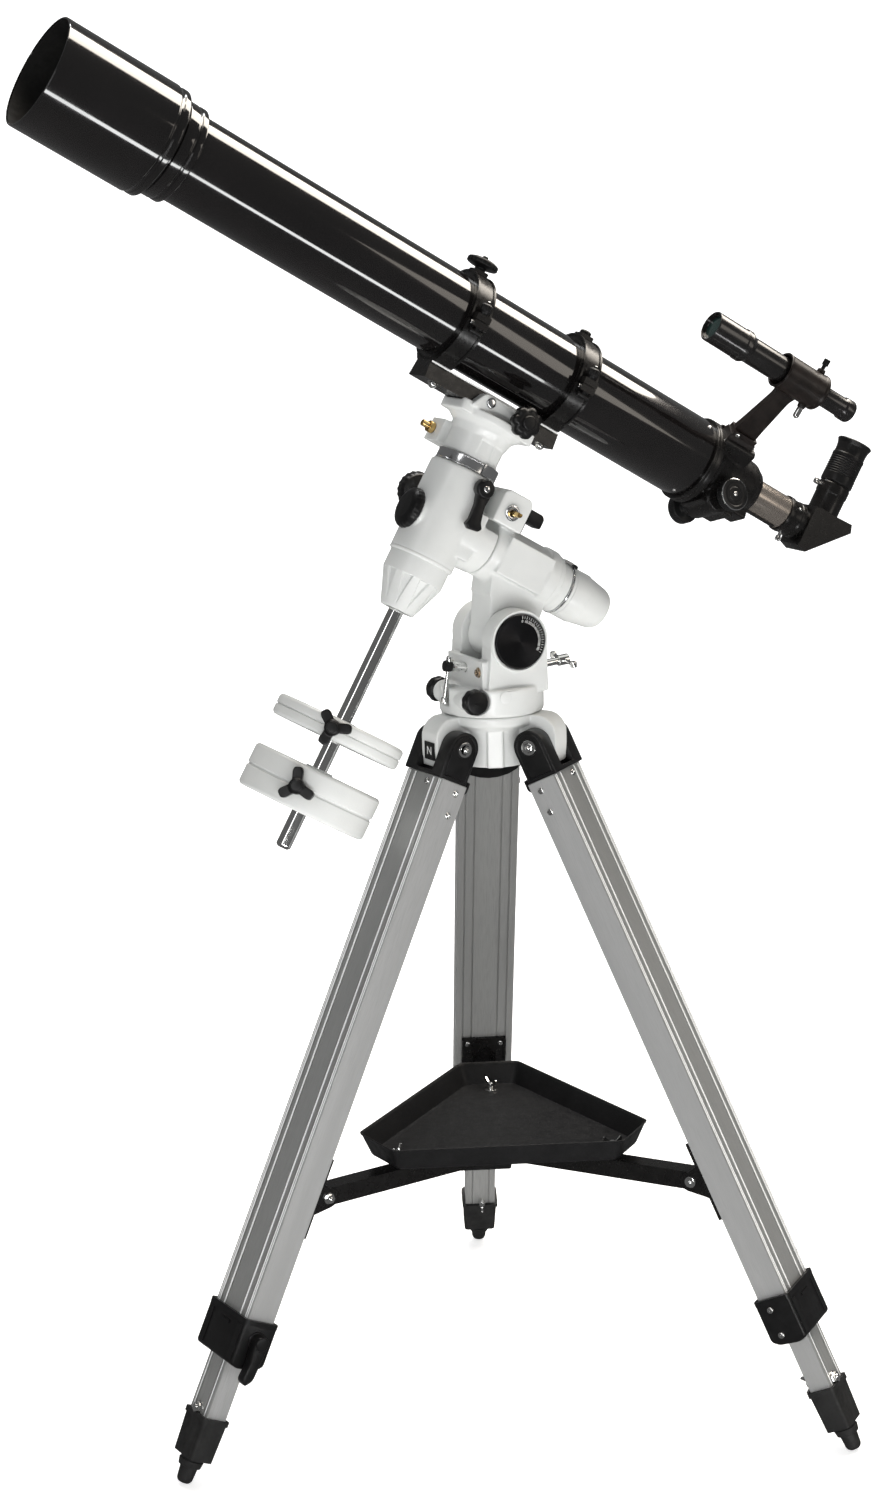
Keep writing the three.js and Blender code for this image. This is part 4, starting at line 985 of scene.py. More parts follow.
def make_azimuth_base():
    body = rod(62, 861.8, 895, fillet=3, steps=80)
    body += rod(13.5, -38, 38, "y", AZIMUTH_SCREW, 2.5) + box(-53, -20, -14, 14, 861.8, 889, 3)
    body += box(-46, -20, -32, 32, 861.8, 882, 4)
    for low, high in both_sides(27, 52):
        body += slab(ear_outline(), low, high, "y", 2, segments=3)
    body += box(-34.3, -27.3, -46, 46, 884, 928, 2) + box(46, 54.5, -40, 40, 884, 903, 2)
    cuts = [
        bolt_place(rod(5.2, -100, 4, "x", fillet=0), *FRONT_BOLT),
        bolt_place(rod(5.2, -4, 100, "x", fillet=0), *REAR_BOLT),
        rod(5, -70, 70, "y", AZIMUTH_SCREW, 0), box(-90, -45, -9, 9, 872, 896, 0),
        rod(17.2, 40, 90, "y", AZIMUTH_SCREW, 0), rod(17.2, -90, -40, "y", AZIMUTH_SCREW, 0),
        box(-27.2, 52.5, -26.6, 26.6, 896, 1000, 0)
    ]
    base = casting(body.cut(*cuts), 1.1, 3)
    rim = sleeve(36.4, 33.6, -54.2, -50, "y", ALT_AXIS, fillet=0.9, steps=80)
    tick = box(-9, 3, -62.6, -61.4, 891.6, 892.8, 0.4)
    plug = lathe([(0, -3), (7, -3), (7, 0.5), (0, 0.7)], fillet=0.5, steps=36)
    plug.transform(along((-12, -60.8, 886), (-12.8, -66, 886)))
    piece(
        "azimuth_casting", base + rim + tick + plug, AZIMUTH, "azimuth_head", WHITE,
        ["azimuth_base"]
    )
    screws = Solid()
    for y in (-35.6, 35.6):
        screws += on_face((-34.3, y, 914), (-1, 0, 0), hex_head(5, 3))
    piece("bracket_screws", screws, AZIMUTH, "azimuth_head", BRONZE)


def fluted(count, depth, above):
    return lambda angle, r, h: r * (1 - depth * (0.5 - 0.5 * math.cos(count * angle))) if r > above else r


def t_handle(start, end):
    """The cross bar of a T bolt with a ball on each end."""
    bar = pipe([start, end], 2.4, 16)
    for point in (start, end):
        bar += rod(4, -4, 4, "z", point, fillet=3.8, steps=24)
    return bar


def make_azimuth_details():
    for side, name in ((-1, "right"), (1, "left")):
        knob = lathe(
            [(0, 40.3), (12, 40.3), (15.4, 43), (15.4, 53), (13, 56.4), (0, 57.4)], "z", (0, 0, 0), 1.6, 90,
            fluted(9, 0.06, 14),
        )
        slot = box(-5, 5, -0.8, 0.8, 56.4, 60, 0.2)
        knob = knob.cut(slot) + rod(4.5, 6, 41, fillet=0.4)
        knob.turn("X", 90 if side < 0 else -90).move(*AZIMUTH_SCREW)
        piece(
            f"azimuth_thumb_knob_{name}", knob, AZIMUTH, f"azimuth_screw_{name}", PLASTIC,
            [f"azimuth_knob_{name}"],
        )
    front = rod(4.5, -50, 0, "x", fillet=0.4) + rod(6, -56, -44, "x", fillet=1)
    front += t_handle((-58, 0, -41), (-58, 0, 8))
    piece(
        "front_t_bolt", bolt_place(front, *FRONT_BOLT), AZIMUTH, "front_latitude_screw", CHROME,
        ["latitude_bolt_front"],
    )
    end = lathe([(0, -64), (6.6, -64), (6.8, -57), (6.4, -54.4), (0, -54.4)], "x", fillet=1.2, steps=32)
    piece(
        "front_t_bolt_end", bolt_place(end, *FRONT_BOLT), AZIMUTH, "front_latitude_screw",
        PLASTIC
    )
    rear = rod(4.5, 0, 72, "x", fillet=0.4) + rod(6.5, 68, 82, "x", fillet=1)
    rear += t_handle((76, -25, -2), (76, 25, 2))
    piece(
        "rear_t_bolt", bolt_place(rear, *REAR_BOLT), AZIMUTH, "rear_latitude_screw", CHROME,
        ["latitude_bolt_rear"],
    )
    disc = lathe(
        [(0, -52.3), (32.6, -52.3), (32.6, -54.6), (31.4, -56), (30.4, -55.7), (0, -55.7)], "y",
        ALT_AXIS, 0.4, 96
    )
    piece("latitude_disc", disc, AZIMUTH, "azimuth_head", SPUN_BLACK, ["latitude_scale_cap"])
    face = Matrix.Translation((ALT_X, -55.7, ALT_Z)) @ turned("X", 90)
    marks = []
    for k in range(10):
        turn = face @ turned("Z", -6 - 12 * k)
        marks.append((str(10 * k), 4.4, turn @ Matrix.Translation((0, 24.2, 0))))
        for step in (0, 6):
            tick = turn @ turned("Z", -step)
            marks.append(("l", 4.0 if step else 5.2, tick @ Matrix.Translation((0, 28.6, 0))))
    print_marks("latitude_figures", marks, AZIMUTH, "azimuth_head")
    far = rod(33, 52.3, 56, "y", ALT_AXIS, fillet=1.5, steps=72)
    piece("far_ear_cover", far, AZIMUTH, "azimuth_head", PLASTIC)


# ------------------------------------------------------------------ right ascension unit
def make_ra_unit():
    body = lathe(
        [(12, -71), (34, -72), (35, -69), (35, 28), (31.5, 31), (31.5, 43), (12, 43)], "x", POLAR_AXIS,
        1, 80
    )
    body += box(-58, 8, -35.6, 35.6, 60, 106, 2.5)
    body += sleeve(37.2, 20, 6, 22, "x", POLAR_AXIS, fillet=1.5, steps=80)
    body += box(6, 21, -26, 26, 22, 62, 2)
    body += rod(29.5, -25.6, 25.6, "y", fillet=2, steps=64)
    body += slab([(-29.5, 0), (29.5, 0), (24, 60), (-58, 60)], -25.6, 25.6, "y", 3)
    body += slab(
        [(-92, 112), (-51, 112), (-51, 148), (-56, 153), (-86, 153), (-92, 148)], -35.4, 35.4, "y", 2.5
    )
    body += slab([(-58, 62), (-47, 33), (20, 33), (24, 60)], -25.6, 25.6, "y", 3)
    lug = box(-8, 8, -12, 12, -44, -20, 1).turn("Y", -LATITUDE)
    cuts = [
        rod(12, -80, 50, "x", POLAR_AXIS, 0), rod(6, -60, 60, "y", RA_WORM, 0),
        rod(36.3, -110, -72.5, "x", POLAR_AXIS, 0),
    ]
    housing = casting(body.cut(*cuts), 1.2, 4) + lug
    piece("ra_casting", housing, HEAD, "polar_head", WHITE, ["ra_housing"])
    ring = lathe([(14, 43.3), (31.6, 43.3), (32, 44.4), (31, 46.3), (14, 46.3)], "x", POLAR_AXIS, 0.4, 96)
    piece("ra_scale_ring", ring, HEAD, "ra_circle", SILVER, ["ra_setting_circle"])
    cap = lathe(
        [(0, 49.6), (31, 49.6), (31, 73), (30.4, 73.4), (30.2, 74), (25.5, 102), (21.5, 109), (0, 109)], "x",
        POLAR_AXIS, 3, 96,
    )
    cap += rod(30.5, 46.6, 50.2, "x", POLAR_AXIS, steps=96)
    piece("rear_cap", cap, HEAD, "polar_head", WHITE, ["polar_rear_cap"])
    tab = slab([(30, 0), (42, 0), (42, 9), (38, 11), (34, 11), (30, 9)], 112, 115.4, "z", 0.6).move(0, -14, 0)
    piece("ra_pointer", tab, HEAD, "polar_head", SILVER)
    small = on_face((45, -14, 112), (0, -0.35, 1), pan_screw(4, 3))
    piece("ra_small_screw", small, HEAD, "polar_head", PLASTIC)


def make_ra_controls():
    knob = lathe(
        [
            (0, 180), (8, 180), (10, 208), (22, 212), (25, 217), (25, 229), (20, 232), (14, 229),
            (10, 229), (8, 231), (0, 231)
        ],
        "y", RA_WORM, 1.6, 96, fluted(20, 0.04, 23)
    )
    knob += rod(4.5, -36, 184, "y", RA_WORM, 0.3)
    piece("ra_slow_motion_knob", knob, HEAD, "ra_worm", PLASTIC, ["ra_worm_shaft"])
    stub = rod(3.4, -56, -38, "y", RA_WORM, 0.6, 28).cut(box(-80, -66, -57, -44, WORM_Z + 2, WORM_Z + 6, 0))
    piece("ra_brass_stub", stub, HEAD, "ra_worm", BRASS)
    nut = lathe([(4.5, -39.4), (8, -39.4), (9.6, -38), (9.6, -35.6), (4.5, -35.6)], "y", RA_WORM, 0.5, 48)
    piece("ra_ring_nut", nut, HEAD, "polar_head", SILVER)
    lever = slab(
        [(-46, 131), (-16, 131), (-16, 144), (-20, 148), (-46, 148)], -9, 9, "y", 0, 3
    ).bevel(1.6, 3, 30)
    lever += rod(5, 117.4, 136, fillet=0.3).move(-38, 0, 0)
    piece("ra_clamp_block", lever, HEAD, "ra_lock", PLASTIC, ["ra_lock_lever"])


# ------------------------------------------------------------------ declination unit
def make_dec_unit():
    body = lathe([(11, 34), (38, 34), (39.4, 38), (40, 147), (37.5, 150), (11, 150)], "z", DEC_AXIS, 1.5, 80)
    body += lathe([(12, -128), (36.5, -128), (36.5, -92), (35.2, -73), (12, -72.8)], "x", POLAR_AXIS, 1.5, 80)
    body += box(DEC_X, -96, -34, 34, 54, 112, 8)
    body += lathe([(0, -173), (24, -173), (27, -150), (0, -130)], "x", POLAR_AXIS, 1.5, 64)
    cuts = [
        rod(11, 20, 160, fillet=0).move(*DEC_AXIS), rod(12, -110, -60, "x", POLAR_AXIS, 0),
        box(-94, -45, -60, 60, 100, 162, 0),
    ]
    housing = casting(body.cut(*cuts), 1.2, 5)
    bead = lathe([(30, 33), (37.6, 33), (39.6, 35), (39.6, 37), (37.6, 39), (30, 39)], "z", DEC_AXIS, 1.2, 96)
    piece("dec_casting", housing + bead, HEAD, "dec_head", WHITE, ["dec_housing"])

    def pockets(angle, r, h):
        if not -27 < h < 11:
            return r
        spread = (angle * 10 / (2 * math.pi)) % 1 - 0.5
        width = 0.31 * (h + 27) / 38
        edge = max(0.0, min(1.0, (width - abs(spread)) / 0.05))
        return r - 3.6 * edge * ((h + 27) / 38) ** 0.5

    rows = [(11.5, 35)] + [(36.8, 34), (36.8, 12), (36.6, 11.2), (36.5, 10.8)]
    rows += [(36.5 - 15.5 * k / 24, 10.8 - 39.8 * k / 24) for k in range(1, 25)] + [(20, -30), (11.5, -30)]
    cone = lathe(rows, "z", DEC_AXIS, 0, 240, pockets)
    piece("dec_fluted_cone", cone, HEAD, "dec_head", WHITE, sharp=25)
    cap = lathe(
        [(0, -186), (17, -186), (24, -182), (25.5, -176), (24, -172.5), (0, -172.5)], "x", POLAR_AXIS,
        2.5, 96, fluted(24, 0.02, 23)
    )
    piece("polar_bore_cap", cap, HEAD, "dec_head", PLASTIC, ["polar_front_cap"])


def make_dec_controls():
    outline = arc(0, 0, 11.5, 20, 160, 14) + [
        (-8, -9), (-6, -20), (-7.5, -38), (-11, -44), (-6, -49), (7, -49), (11, -45), (7.5, -38),
        (6, -20), (9, -9)
    ]
    lever = slab(outline, -54, -45, "y", 0, 1.5).bevel(2.2, 3, 30)
    lever += lathe([(0, -56.5), (9.5, -56.5), (11.5, -54), (11.5, -44), (0, -44)], "y", (0, 0, 0), 1.5, 56)
    lever += rod(7, -46, -41.3, "y", fillet=0.4)
    lever.turn("Y", -9).move(*DEC_LOCK)
    piece("dec_clamp_lever", lever, HEAD, "dec_lock", PLASTIC, ["dec_lock_lever"])
    screw = on_face((DEC_LOCK[0], -56, DEC_LOCK[2]), (0, -1, 0), pan_screw(4.4, 2.6))
    piece("dec_lever_screw", screw, HEAD, "dec_lock", CHROME)
    circle = lathe(
        [
            (12, 150.3), (37, 150.3), (37, 151.2), (36.5, 151.6), (36.5, 161.6), (37, 162), (37, 162.7),
            (12, 162.7)
        ],
        "z", DEC_AXIS, 0.3, 128
    )
    piece("dec_scale_ring", circle, HEAD, "dec_circle", SILVER, ["dec_setting_circle"])
    pointer = sleeve(38.4, 37.2, 151, 164, fillet=0.2, steps=96)
    pointer = pointer.cut(
        box(-60, 60, -12, 60, 140, 170, 0), box(-60, 4, -60, 60, 140, 170, 0)
    ).move(*DEC_AXIS)
    piece("dec_pointer", pointer, HEAD, "optical_tube", SILVER)


def make_counterweights():
    shaft = lathe(
        [(0, -335.5), (6, -335.5), (8.8, -333), (9, -331), (9, 30), (0, 30)], "z", DEC_AXIS, 0.8, 64
    )
    piece("weight_shaft", shaft, HEAD, "dec_head", CHROME, ["counterweight_shaft"])
    for name, top, end, turn, arms in (("small", -174, -199, -31, 70), ("large", -237, -289, -36, 100)):
        middle = (top + end) / 2
        groove = 1.2 if name == "small" else 2
        disc = lathe(
            [(9.3, end), (76, end), (79, end + 3), (79, middle - groove), (77.2, middle - groove + 0.8),
             (77.2, middle + groove - 0.8), (79, middle + groove), (79, top - 3), (76, top), (9.3, top)],
            "z", (0, 0, 0), 1.6, 160,
        ).cut(rod(5.6, -90, -20, "y", (0, 0, middle), 0)).turn("Z", turn).move(*DEC_AXIS)
        collar = lathe([(9.4, top - 1), (17, top - 1), (16, top + 2), (9.4, top + 2)], "z", DEC_AXIS, 0.6, 64)
        piece(
            f"weight_disc_{name}", disc + collar, HEAD, f"{name}_weight", WHITE,
            [f"counterweight_{name}"]
        )
        star = lathe([(0, -94), (8, -94), (9.5, -91), (9.5, -81), (0, -81)], "y", (0, 0, 0), 2.5, 40)
        for k in range(3):
            arm = slab(
                [(-5.5, 0), (5.5, 0), (6.2, 18), (4, 22), (-4, 22), (-6.2, 18)], -91.5, -82.5, "y", 2.2,
                2.5
            )
            star += arm.turn("Y", 120 * k + arms)
        star = casting(star, 0.7, 4)
        star += lathe([(0, -95.4), (6.4, -95.4), (7, -93), (0, -92)], "y", (0, 0, 0), 1, 32)
        star += rod(5, -83, -10.2, "y", fillet=0.3)
        star.turn("Z", turn).move(DEC_X, 0, middle)
        piece(
            f"weight_star_knob_{name}", star, HEAD, f"{name}_weight_knob", PLASTIC,
            [f"counterweight_knob_{name}"],
        )


# ------------------------------------------------------------------ saddle and rings
def make_saddle():
    body = lathe(
        [(0, 163.3), (33.5, 163.3), (34.5, 190), (38, 200), (47, 207), (48, 216), (0, 216)], "z",
        DEC_AXIS, 1.2, 80
    )
    body += slab([(-52, -30), (50, -34), (50, 34), (-52, 30)], 207, 221, "z", 2, 8).move(*DEC_AXIS)
    body += slab([(-44, 216), (28, 216), (18, 236), (-32, 236)], -34, -20, "y", 2, 4).move(*DEC_AXIS)
    body += slab([(-44, 216), (44, 216), (40, 231), (-40, 231)], 24, 34, "y", 2).move(*DEC_AXIS)
    body += box(DEC_X - 40, DEC_X + 26, 18, 52, 167, 195, 2.5)
    panels = [
        sleeve(60, 33, 168, 188, fillet=0).cut(
            box(-70, 70, -70, 70, 150, 192, 0).cut(box(0, 70, -9, 9, 150, 192, 0).turn("Z", turn))
        ).move(*DEC_AXIS) for turn in (-30, -62, -94)
    ]
    channel = slab([(-22.4, 218.6), (22.4, 218.6), (18.4, 243), (-18.4, 243)], DEC_X - 60, DEC_X + 60, "x", 0)
    cuts = [channel, rod(6, -200, -76, "x", DEC_WORM, 0), rod(4.5, -60, 0, "y", SADDLE_KNOB, 0)]
    saddle = casting(body.cut(*cuts, *panels), 1.1, 3)
    piece("saddle_casting", saddle, HEAD, "optical_tube", WHITE, ["saddle"])
    bolt = on_face((DEC_X - 22, -34, 228), (0, -1, 0), lathe(
        [(0, -1), (6.4, -1), (6.4, 1.2), (5, 3), (0, 3.6)], fillet=1, steps=40))
    piece("saddle_bolt", bolt, HEAD, "optical_tube", SILVER)
    knob = lathe(
        [(0, -66), (14, -66), (19, -62), (19, -53), (13, -50), (0, -50)], "y", (0, 0, 0), 2.4, 96,
        lambda a, r, h: r * (1 - 0.13 * (0.5 - 0.5 * math.cos(7 * a)) ** 2) if r > 10 else r,
    )
    knob += lathe([(0, -69), (8, -69), (9.5, -65), (0, -60)], "y", (0, 0, 0), 1.5, 48)
    knob += rod(9, -51, -35, "y", fillet=0.6) + rod(4, -36, -24, "y", fillet=0.3)
    knob.move(*SADDLE_KNOB)
    piece("saddle_star_knob", knob, HEAD, "saddle_knob", PLASTIC, ["saddle_clamp_knob"])
    stub = rod(4, DEC_X - 56, DEC_X + 42, "x", DEC_WORM, 0.6, 28)
    stub += rod(7, -183, -176.6, "x", DEC_WORM, fillet=0.5, steps=36)
    piece("dec_brass_stub", stub, HEAD, "dec_worm", BRASS, ["dec_worm_shaft"])


def make_dovetail():
    bar = slab([(-22, BAR_BOTTOM), (22, BAR_BOTTOM), (18, BAR_TOP), (-18, BAR_TOP)], -242, -54, "x", 0.7)
    piece("dovetail_plate", bar, HEAD, "optical_tube", SATIN, ["dovetail_bar"])
    # Thin strips in the near-white finish along both top edges: painted highlights on the black bar.
    edge = box_pair(-241, -55, 17.8, 19.4, BAR_TOP - 1.4, BAR_TOP + 0.4, 0.5)
    piece("dovetail_painted_highlights", edge, HEAD, "optical_tube", PAINTED_GLINT)
    bolts = Solid()
    for x in (-226, -68):
        head = lathe([(0, -1), (5, -1), (5.4, 3), (4, 6), (0, 7.5)], fillet=1.6, steps=36)
        washer = rod(6.6, -0.5, 1, fillet=0.4, steps=36)
        bolts += on_face((x, -14, BAR_BOTTOM), (0, -0.3, -1), head + washer)
    piece("dovetail_bolts", bolts, HEAD, "optical_tube", CHROME)


def hoop_band(start, end, outer, inner, low, high):
    outline = arc(0, 0, outer, start, end, 36) + arc(0, 0, inner, end, start, 36)
    return slab(outline, low, high, "x", 0.9)


def half_hoop(start):
    """Half a tube ring from an angle on: a band with a raised rim along each edge."""
    end = start + 180
    band = hoop_band(start + 0.4, end - 0.4, 57, 50.3, -12.5, 12.5)
    for low, high in both_sides(10, 12.5):
        band += hoop_band(start + 1, end - 1, 58.6, 54, low, high)
    return band


def make_rings():
    for name, x in (("front", FRONT_RING_X), ("rear", REAR_RING_X)):
        lower = half_hoop(180)
        foot = slab(
            [(-24, -57.3), (24, -57.3), (30, -52), (38, -40), (-38, -40), (-30, -52)], -12, 12, "x", 1
        )
        lower += foot.cut(rod(52, -14, 14, "x", fillet=0, steps=64))
        upper = half_hoop(0)
        for low, high in ((-68, -53), (53, 66)):
            lower += box(-9.5, 9.5, low, high, -8, -0.4, 1.2)
            upper += box(-9.5, 9.5, low, high, 0.4, 8, 1.2)
        upper += box(-8.5, 8.5, -9, 9, 53, 62, 1.2)
        place = TUBE @ shifted(x, 0, 0)
        piece(
            f"ring_lower_{name}", lower, place, "optical_tube", SATIN,
            [f"tube_ring_{name}_lower"]
        )
        piece(
            f"ring_upper_{name}", upper, place, "optical_tube", SATIN,
            [f"tube_ring_{name}_upper"]
        )
        nut = lathe(
            [(0, 7.6), (5, 7.6), (5, 11), (7, 13), (7, 20), (4, 22), (0, 22)], "z", (0, 0, 0), 1, 60,
            fluted(16, 0.07, 6),
        ).move(0, SWING_BOLT_Y, 0)
        nut += rod(2.6, -16, 24, fillet=0.3).move(0, SWING_BOLT_Y, 0)
        nut += rod(3, -8, 8, "x", (0, SWING_BOLT_Y, -13), 0.4)
        piece(f"ring_swing_bolt_{name}", nut, place, "optical_tube", PLASTIC)
        pins = rod(2.2, -11, 11, "x", (0, SWING_BOLT_Y, -4.5), 0.5)
        pins += rod(2.4, -12, 12, "x", (0, -SWING_BOLT_Y, 0), 0.5)
        pins += on_face((0, SWING_BOLT_Y, 24), (0, 0, 1), pan_screw(2.2, 1.2, False))
        piece(f"ring_pins_{name}", pins, place, "optical_tube", CHROME)
    knob = lathe(
        [(0, 76), (13, 76), (19, 73.5), (19, 68), (12, 66.5), (7, 66), (6, 61.5), (0, 61.5)], "z",
        (0, 0, 0), 1.2, 96, fluted(28, 0.03, 17)
    )
    knob += rod(3.2, 80, 75, fillet=0.4, steps=24)
    place = TUBE @ shifted(FRONT_RING_X, 0, 0)
    piece("camera_screw_knob", knob, place, "optical_tube", PLASTIC)
    boss = lathe([(0, 61), (7, 61), (7, 66), (4.5, 67.5), (0, 67.5)], "z", (0, 0, 0), 1, 40)
    piece("rear_ring_boss", boss, TUBE @ shifted(REAR_RING_X, 0, 0), "optical_tube", SATIN)


# ------------------------------------------------------------------ optical tube
def make_tube():
    tube = sleeve(50, 48.5, -603.7, 129.7, "x", fillet=0.4, steps=160)
    piece("tube_shell", tube, TUBE, "optical_tube", GLOSS, ["main_tube"])
    cell = lathe(
        [
            (44, -632), (54, -632), (54, -629), (56, -628), (56, -616), (54.6, -615), (54.6, -613),
            (56, -612), (56, -606), (53, -603.8), (44, -603.8), (44, -612), (46.6, -612), (46.6, -626),
            (44, -626)
        ],
        "x", (0, 0, 0), 0.7, 160
    )
    piece("lens_cell_ring", cell, TUBE, "optical_tube", GLOSS, ["lens_cell"])
    lens = lathe([(0, -627), (25, -626.2), (46, -624), (46, -614), (0, -613)], "x", (0, 0, 0), 0.4, 96)
    piece("front_lens", lens, TUBE, "optical_tube", LENS, ["objective_lens"])
    shield = lathe(
        [
            (61.8, -785), (63.4, -785), (64, -784.2), (64, -646), (63.2, -644.6), (62, -643.6),
            (62, -641), (63.4, -639.6), (63.4, -634), (62.4, -632.5), (48, -632.5), (48, -637),
            (61, -638.4), (61.8, -640)
        ],
        "x", (0, 0, 0), 0.5, 176
    )
    piece("dew_shield_shell", shield, TUBE, "optical_tube", GLOSS, ["dew_shield"])
    lining = sleeve(61.7, 61.3, -783.5, -639.5, "x", fillet=0, steps=144)
    piece("dew_shield_lining", lining, TUBE, "optical_tube", INSIDE)
    spots = Solid()
    for turn in (38, 158, 278):
        spots += pan_screw(2.6, 1.4).move(0, 0, 50).turn("X", turn).move(120, 0, 0)
    piece("tube_end_screws", spots, TUBE, "optical_tube", CHROME)


# ------------------------------------------------------------------ focuser
def make_focuser():
    body = lathe(
        [
            (21.8, 0), (53.2, 0), (53.2, 11), (51, 14), (45, 17), (41, 24), (38.5, 40), (37, 62),
            (35, 84), (30.5, 92), (29, 96), (21.8, 96)
        ],
        "x", (130, 0, 0), 2, 96
    )
    pinion = rod(17.5, -25, 25, "y", PINION, 3, 48) + box(150, 200, -21, 21, -50, -20, 5)
    body += pinion + box(196, 224, -14, 14, -40, -24, 3)
    shoe = slab([(-17, 30), (17, 30), (17, 53), (13, 56), (-13, 56), (-17, 53)], 139, 186, "x", 1.5)
    shoe.turn("X", FINDER_TURN - FOCUSER_TURN)
    body += shoe
    cuts = [
        rod(21.8, 120, 240, "x", (0, 0, 0), 0, 96), rod(5.4, -60, 60, "y", PINION, 0),
        slab(
            [(-12.5, 50.5), (12.5, 50.5), (9.5, 60), (-9.5, 60)], 137, 182, "x", 0
        ).turn("X", FINDER_TURN - FOCUSER_TURN)
    ]
    focuser = casting(body.cut(*cuts), 1.1, 3)
    flange = lathe(
        [(46, 130), (53.6, 130), (53.6, 133), (52.6, 134), (53.6, 135), (53.6, 142), (46, 142)], "x",
        (0, 0, 0), 0.5, 128
    )
    piece(
        "focuser_casting", focuser + flange, FOCUSER, "optical_tube", SATIN,
        ["focuser_body"]
    )
    knobs, caps, rims = Solid(), Solid(), Solid()
    for turn in (90, -90):
        knob = lathe(
            [
                (0, 33), (10, 33), (11, 40), (19, 41.5), (19.6, 43), (19.6, 52), (18.6, 53.4), (15, 54),
                (14, 53.2), (9, 53.2), (8.4, 54), (0, 54)
            ],
            "z", (0, 0, 0), 0.5, 120, fluted(48, 0.025, 18.8)
        )
        rim = lathe([(18.7, 52.4), (19.5, 52.4), (19.3, 53.2), (18.6, 53.6)], "z", (0, 0, 0), 0, 120)
        knobs += knob.turn("X", turn)
        caps += pan_screw(3.2, 1.8).move(0, 0, 54).turn("X", turn)
        rims += rim.turn("X", turn)
    teeth = lathe(
        [(0, -7), (5, -7), (5, 7), (0, 7)], "y", (0, 0, 0), 0.2, 96,
        lambda a, r, h: r * (1 - 0.1 * math.cos(14 * a)) if r > 3 else r,
    )
    knobs += rod(3.5, -40, 40, "y", fillet=0.2) + teeth
    place = FOCUSER @ shifted(*PINION)
    piece("focus_wheel_pair", knobs, place, "focus_pinion", PLASTIC, ["focus_knobs"])
    piece("focus_wheel_screws", caps, place, "focus_pinion", CHROME)
    piece("focus_wheel_rims", rims, place, "focus_pinion", SILVER)
    draw = lathe([(19, 106), (21.4, 106), (21.4, 280.4), (21, 281), (19, 281)], "x", (0, 0, 0), 0.4, 128)
    piece("drawtube_barrel", draw, TUBE, "drawtube_slide", PEARL, ["drawtube"])
    rack = box(112, 276, -3, 3, -22.6, -20.8, 0.3)
    piece("drawtube_rack", rack, FOCUSER, "drawtube_slide", SATIN)


def make_diagonal():
    holder = lathe(
        [
            (14.5, 281.4), (23.4, 281.4), (23.4, 288), (22.4, 289), (22.4, 299), (23.2, 300),
            (23.2, 306), (14.5, 306)
        ],
        "x", (0, 0, 0), 0.8, 96
    )
    tube = sleeve(18.8, 14.5, 262, 322, "x", steps=72)
    side = [(312, -27), (325, -31), (375, 18), (371, 28), (312, 25)]
    wedge = slab(side, -19.5, 19.5, "y", 0).cut(
        rod(14, 290, 341, "x", (0, 0, 0), 0), rod(16.2, -2, 80, "z", EYE_AXIS, 0)
    )
    wedge.bevel(1.1, 3, 30)
    plates = slab(side, -21.3, -19.4, "y", 0.6) + slab(side, 19.4, 21.3, "y", 0.6)
    socket = lathe(
        [(16.3, 22), (20, 22), (19.4, 26), (19.4, 50), (20.2, 51), (20.2, 62), (19.4, 64), (16.3, 64)],
        "z", EYE_AXIS, 0.7, 96
    )
    base = box(317, 357, -20, 20, 20, 27, 2).cut(rod(16.3, 10, 40, "z", EYE_AXIS, 0))
    piece(
        "diagonal_housing", holder + tube + wedge + plates + socket + base, TUBE, "diagonal",
        SATIN, ["star_diagonal"]
    )
    screws = on_face((317.5, 0, 57), (-1, 0, 0), thumb_screw(3.6, 5, 6))
    screws += on_face((337, 19.5, 57), (0, 1, 0), thumb_screw(3.6, 4, 6))
    screws += on_face((294, 0, -22.4), (0, 0, -1), thumb_screw(3.2, 4, 6))
    screws += on_face((294, -19, 12), (0, -0.84, 0.54), pan_screw(2, 1.4))
    piece("diagonal_screws", screws, TUBE, "diagonal", CHROME)
    profile = [(0, 36), (15.9, 36), (15.9, 64.3), (19, 64.3), (20.6, 66), (20.6, 76)]
    z = 76
    while z < 100:
        profile += [(20.6, z + 0.4), (19.7, z + 0.9), (19.7, z + 1.9), (20.6, z + 2.4)]
        z += 3
    profile += [
        (20.6, 103), (19.6, 104), (19.6, 110), (20.4, 116), (22.4, 121), (21.4, 122.4), (18, 121),
        (17, 114), (0, 113)
    ]
    eyepiece = lathe(profile, "z", EYE_AXIS, 0.35, 112)
    piece("eyepiece_body", eyepiece, TUBE, "eyepiece_barrel", PLASTIC, ["eyepiece"])
    eye = lathe([(0, 112.6), (13, 112.6), (13, 113.4), (0, 114.4)], "z", EYE_AXIS, 0.3, 64)
    piece("eye_lens", eye, TUBE, "eyepiece_barrel", LENS)


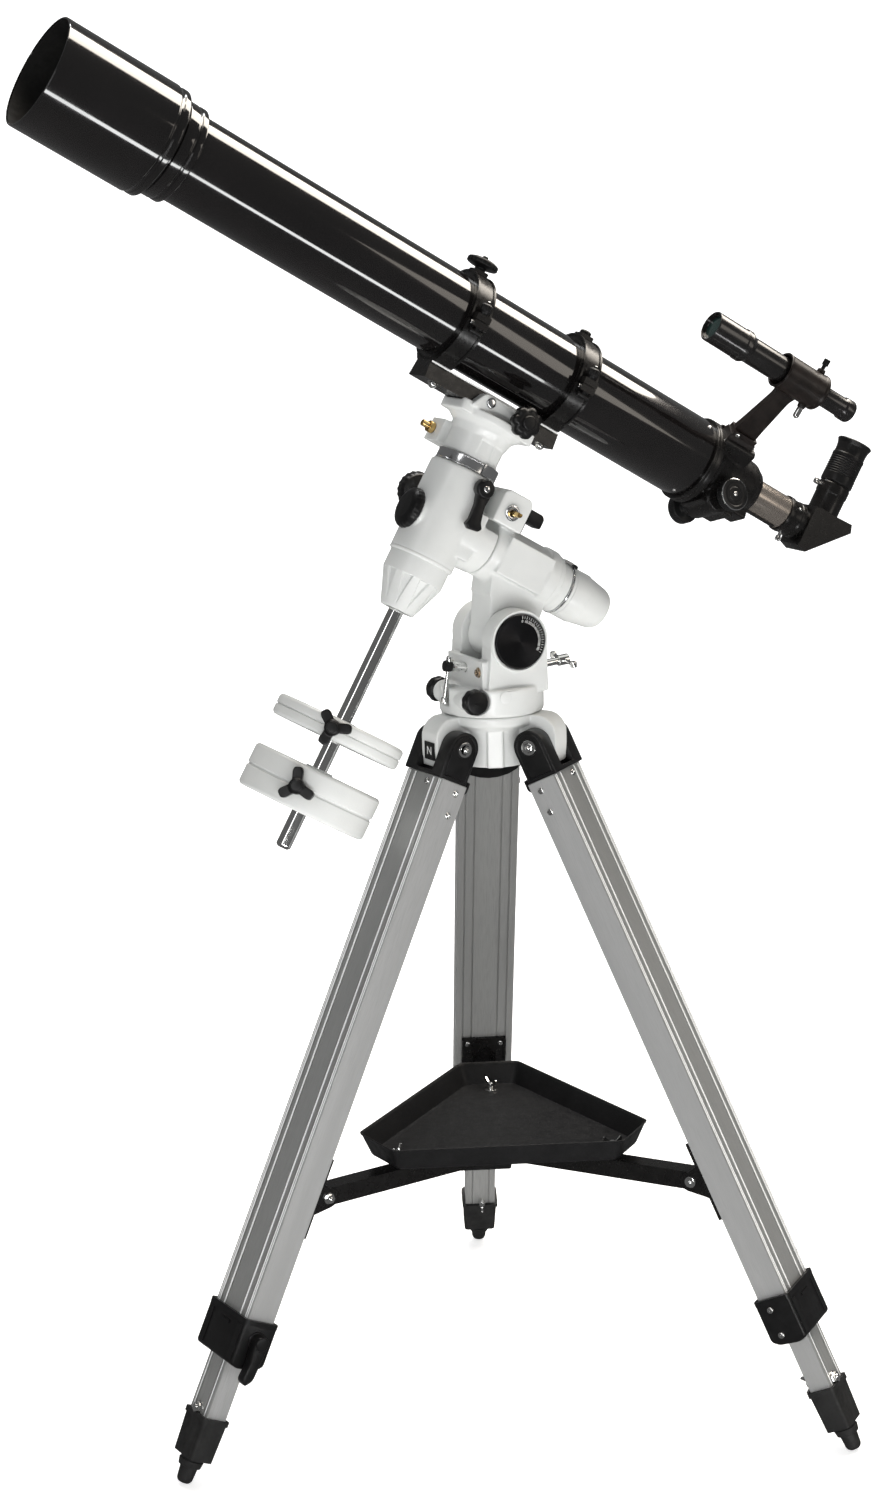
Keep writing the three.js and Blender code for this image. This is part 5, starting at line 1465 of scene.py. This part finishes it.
# ------------------------------------------------------------------ finder
def make_finder():
    stalk = slab(
        [
            (-17, 62), (17, 62), (15, 84), (12, FINDER_REACH - 30), (15, FINDER_REACH - 19),
            (-15, FINDER_REACH - 19), (-12, FINDER_REACH - 30), (-15, 84)
        ],
        -4, 4, "y", 1.4, 4
    ).move(160, 0, 0)
    foot = slab([(-11.8, 51), (11.8, 51), (8.8, 62), (-8.8, 62)], 141, 180, "x", 0.8)
    foot += box(143, 178, -9, 9, 60, 68, 2)
    hoop = lathe(
        [
            (19.4, 132), (21.6, 132), (22.2, 133), (21.6, 134.2), (21.4, 188), (22.4, 190), (22.4, 193),
            (21, 194), (19.4, 194)
        ],
        "x", FINDER_AXIS, 0.4, 96
    )
    bosses = Solid()
    for turn in (150, 330):
        boss = lathe([(0, 20.6), (5.4, 20.6), (4.6, 26), (0, 26)], "z", (0, 0, 0), 0.8, 40)
        bosses += boss.turn("X", turn).move(182, 0, FINDER_REACH)
    piece(
        "finder_holder", stalk + foot + hoop + bosses, FINDER, "optical_tube",
        FINDER_COAT, ["finder_bracket"]
    )
    screws = Solid()
    plunger = lathe([(0, 22), (3.2, 22), (3.8, 28), (3.8, 38), (0, 40)], fillet=1.4, steps=40)
    screws += plunger.turn("X", 150).move(182, 0, FINDER_REACH)
    dark = thumb_screw(3.8, 9, 8, 2.4).move(0, 0, 22).turn("X", 330).move(182, 0, FINDER_REACH)
    screws += on_face((150, -8.6, 64), (-0.2, -1, 0), pan_screw(3.4, 3))
    piece("finder_bright_screws", screws, FINDER, "optical_tube", CHROME)
    piece("finder_dark_screw", dark, FINDER, "optical_tube", PLASTIC)
    front, rear = 22, 245
    tube = lathe(
        [
            (0, front + 5), (16.2, front + 5), (16.4, front), (18.2, front), (18.6, front + 1),
            (18.6, front + 44), (19.4, front + 45), (19.4, front + 52), (18.4, front + 54),
            (16, front + 58), (16, front + 100), (15, front + 118), (12.6, rear - 50),
            (12.2, rear - 46), (12.2, rear - 15), (13.8, rear - 13), (13.8, rear - 2), (12.6, rear),
            (9, rear), (8, rear - 4), (0, rear - 4)
        ],
        "x", FINDER_AXIS, 0.7, 112
    )
    piece("finder_tube", tube, FINDER, "optical_tube", FINDER_PAINT, ["finder_scope"])
    glass = lathe(
        [(0, front + 4), (10, front + 4.4), (16, front + 5.2), (16, front + 8), (0, front + 8)], "x",
        FINDER_AXIS, 0.2, 72,
    )
    piece("finder_lens", glass, FINDER, "optical_tube", LENS)


make_hub()
make_legs()
make_spreader()
make_tray()
make_azimuth_base()
make_azimuth_details()
make_ra_unit()
make_ra_controls()
make_dec_unit()
make_dec_controls()
make_counterweights()
make_saddle()
make_dovetail()
make_rings()
make_tube()
make_focuser()
make_diagonal()
make_finder()
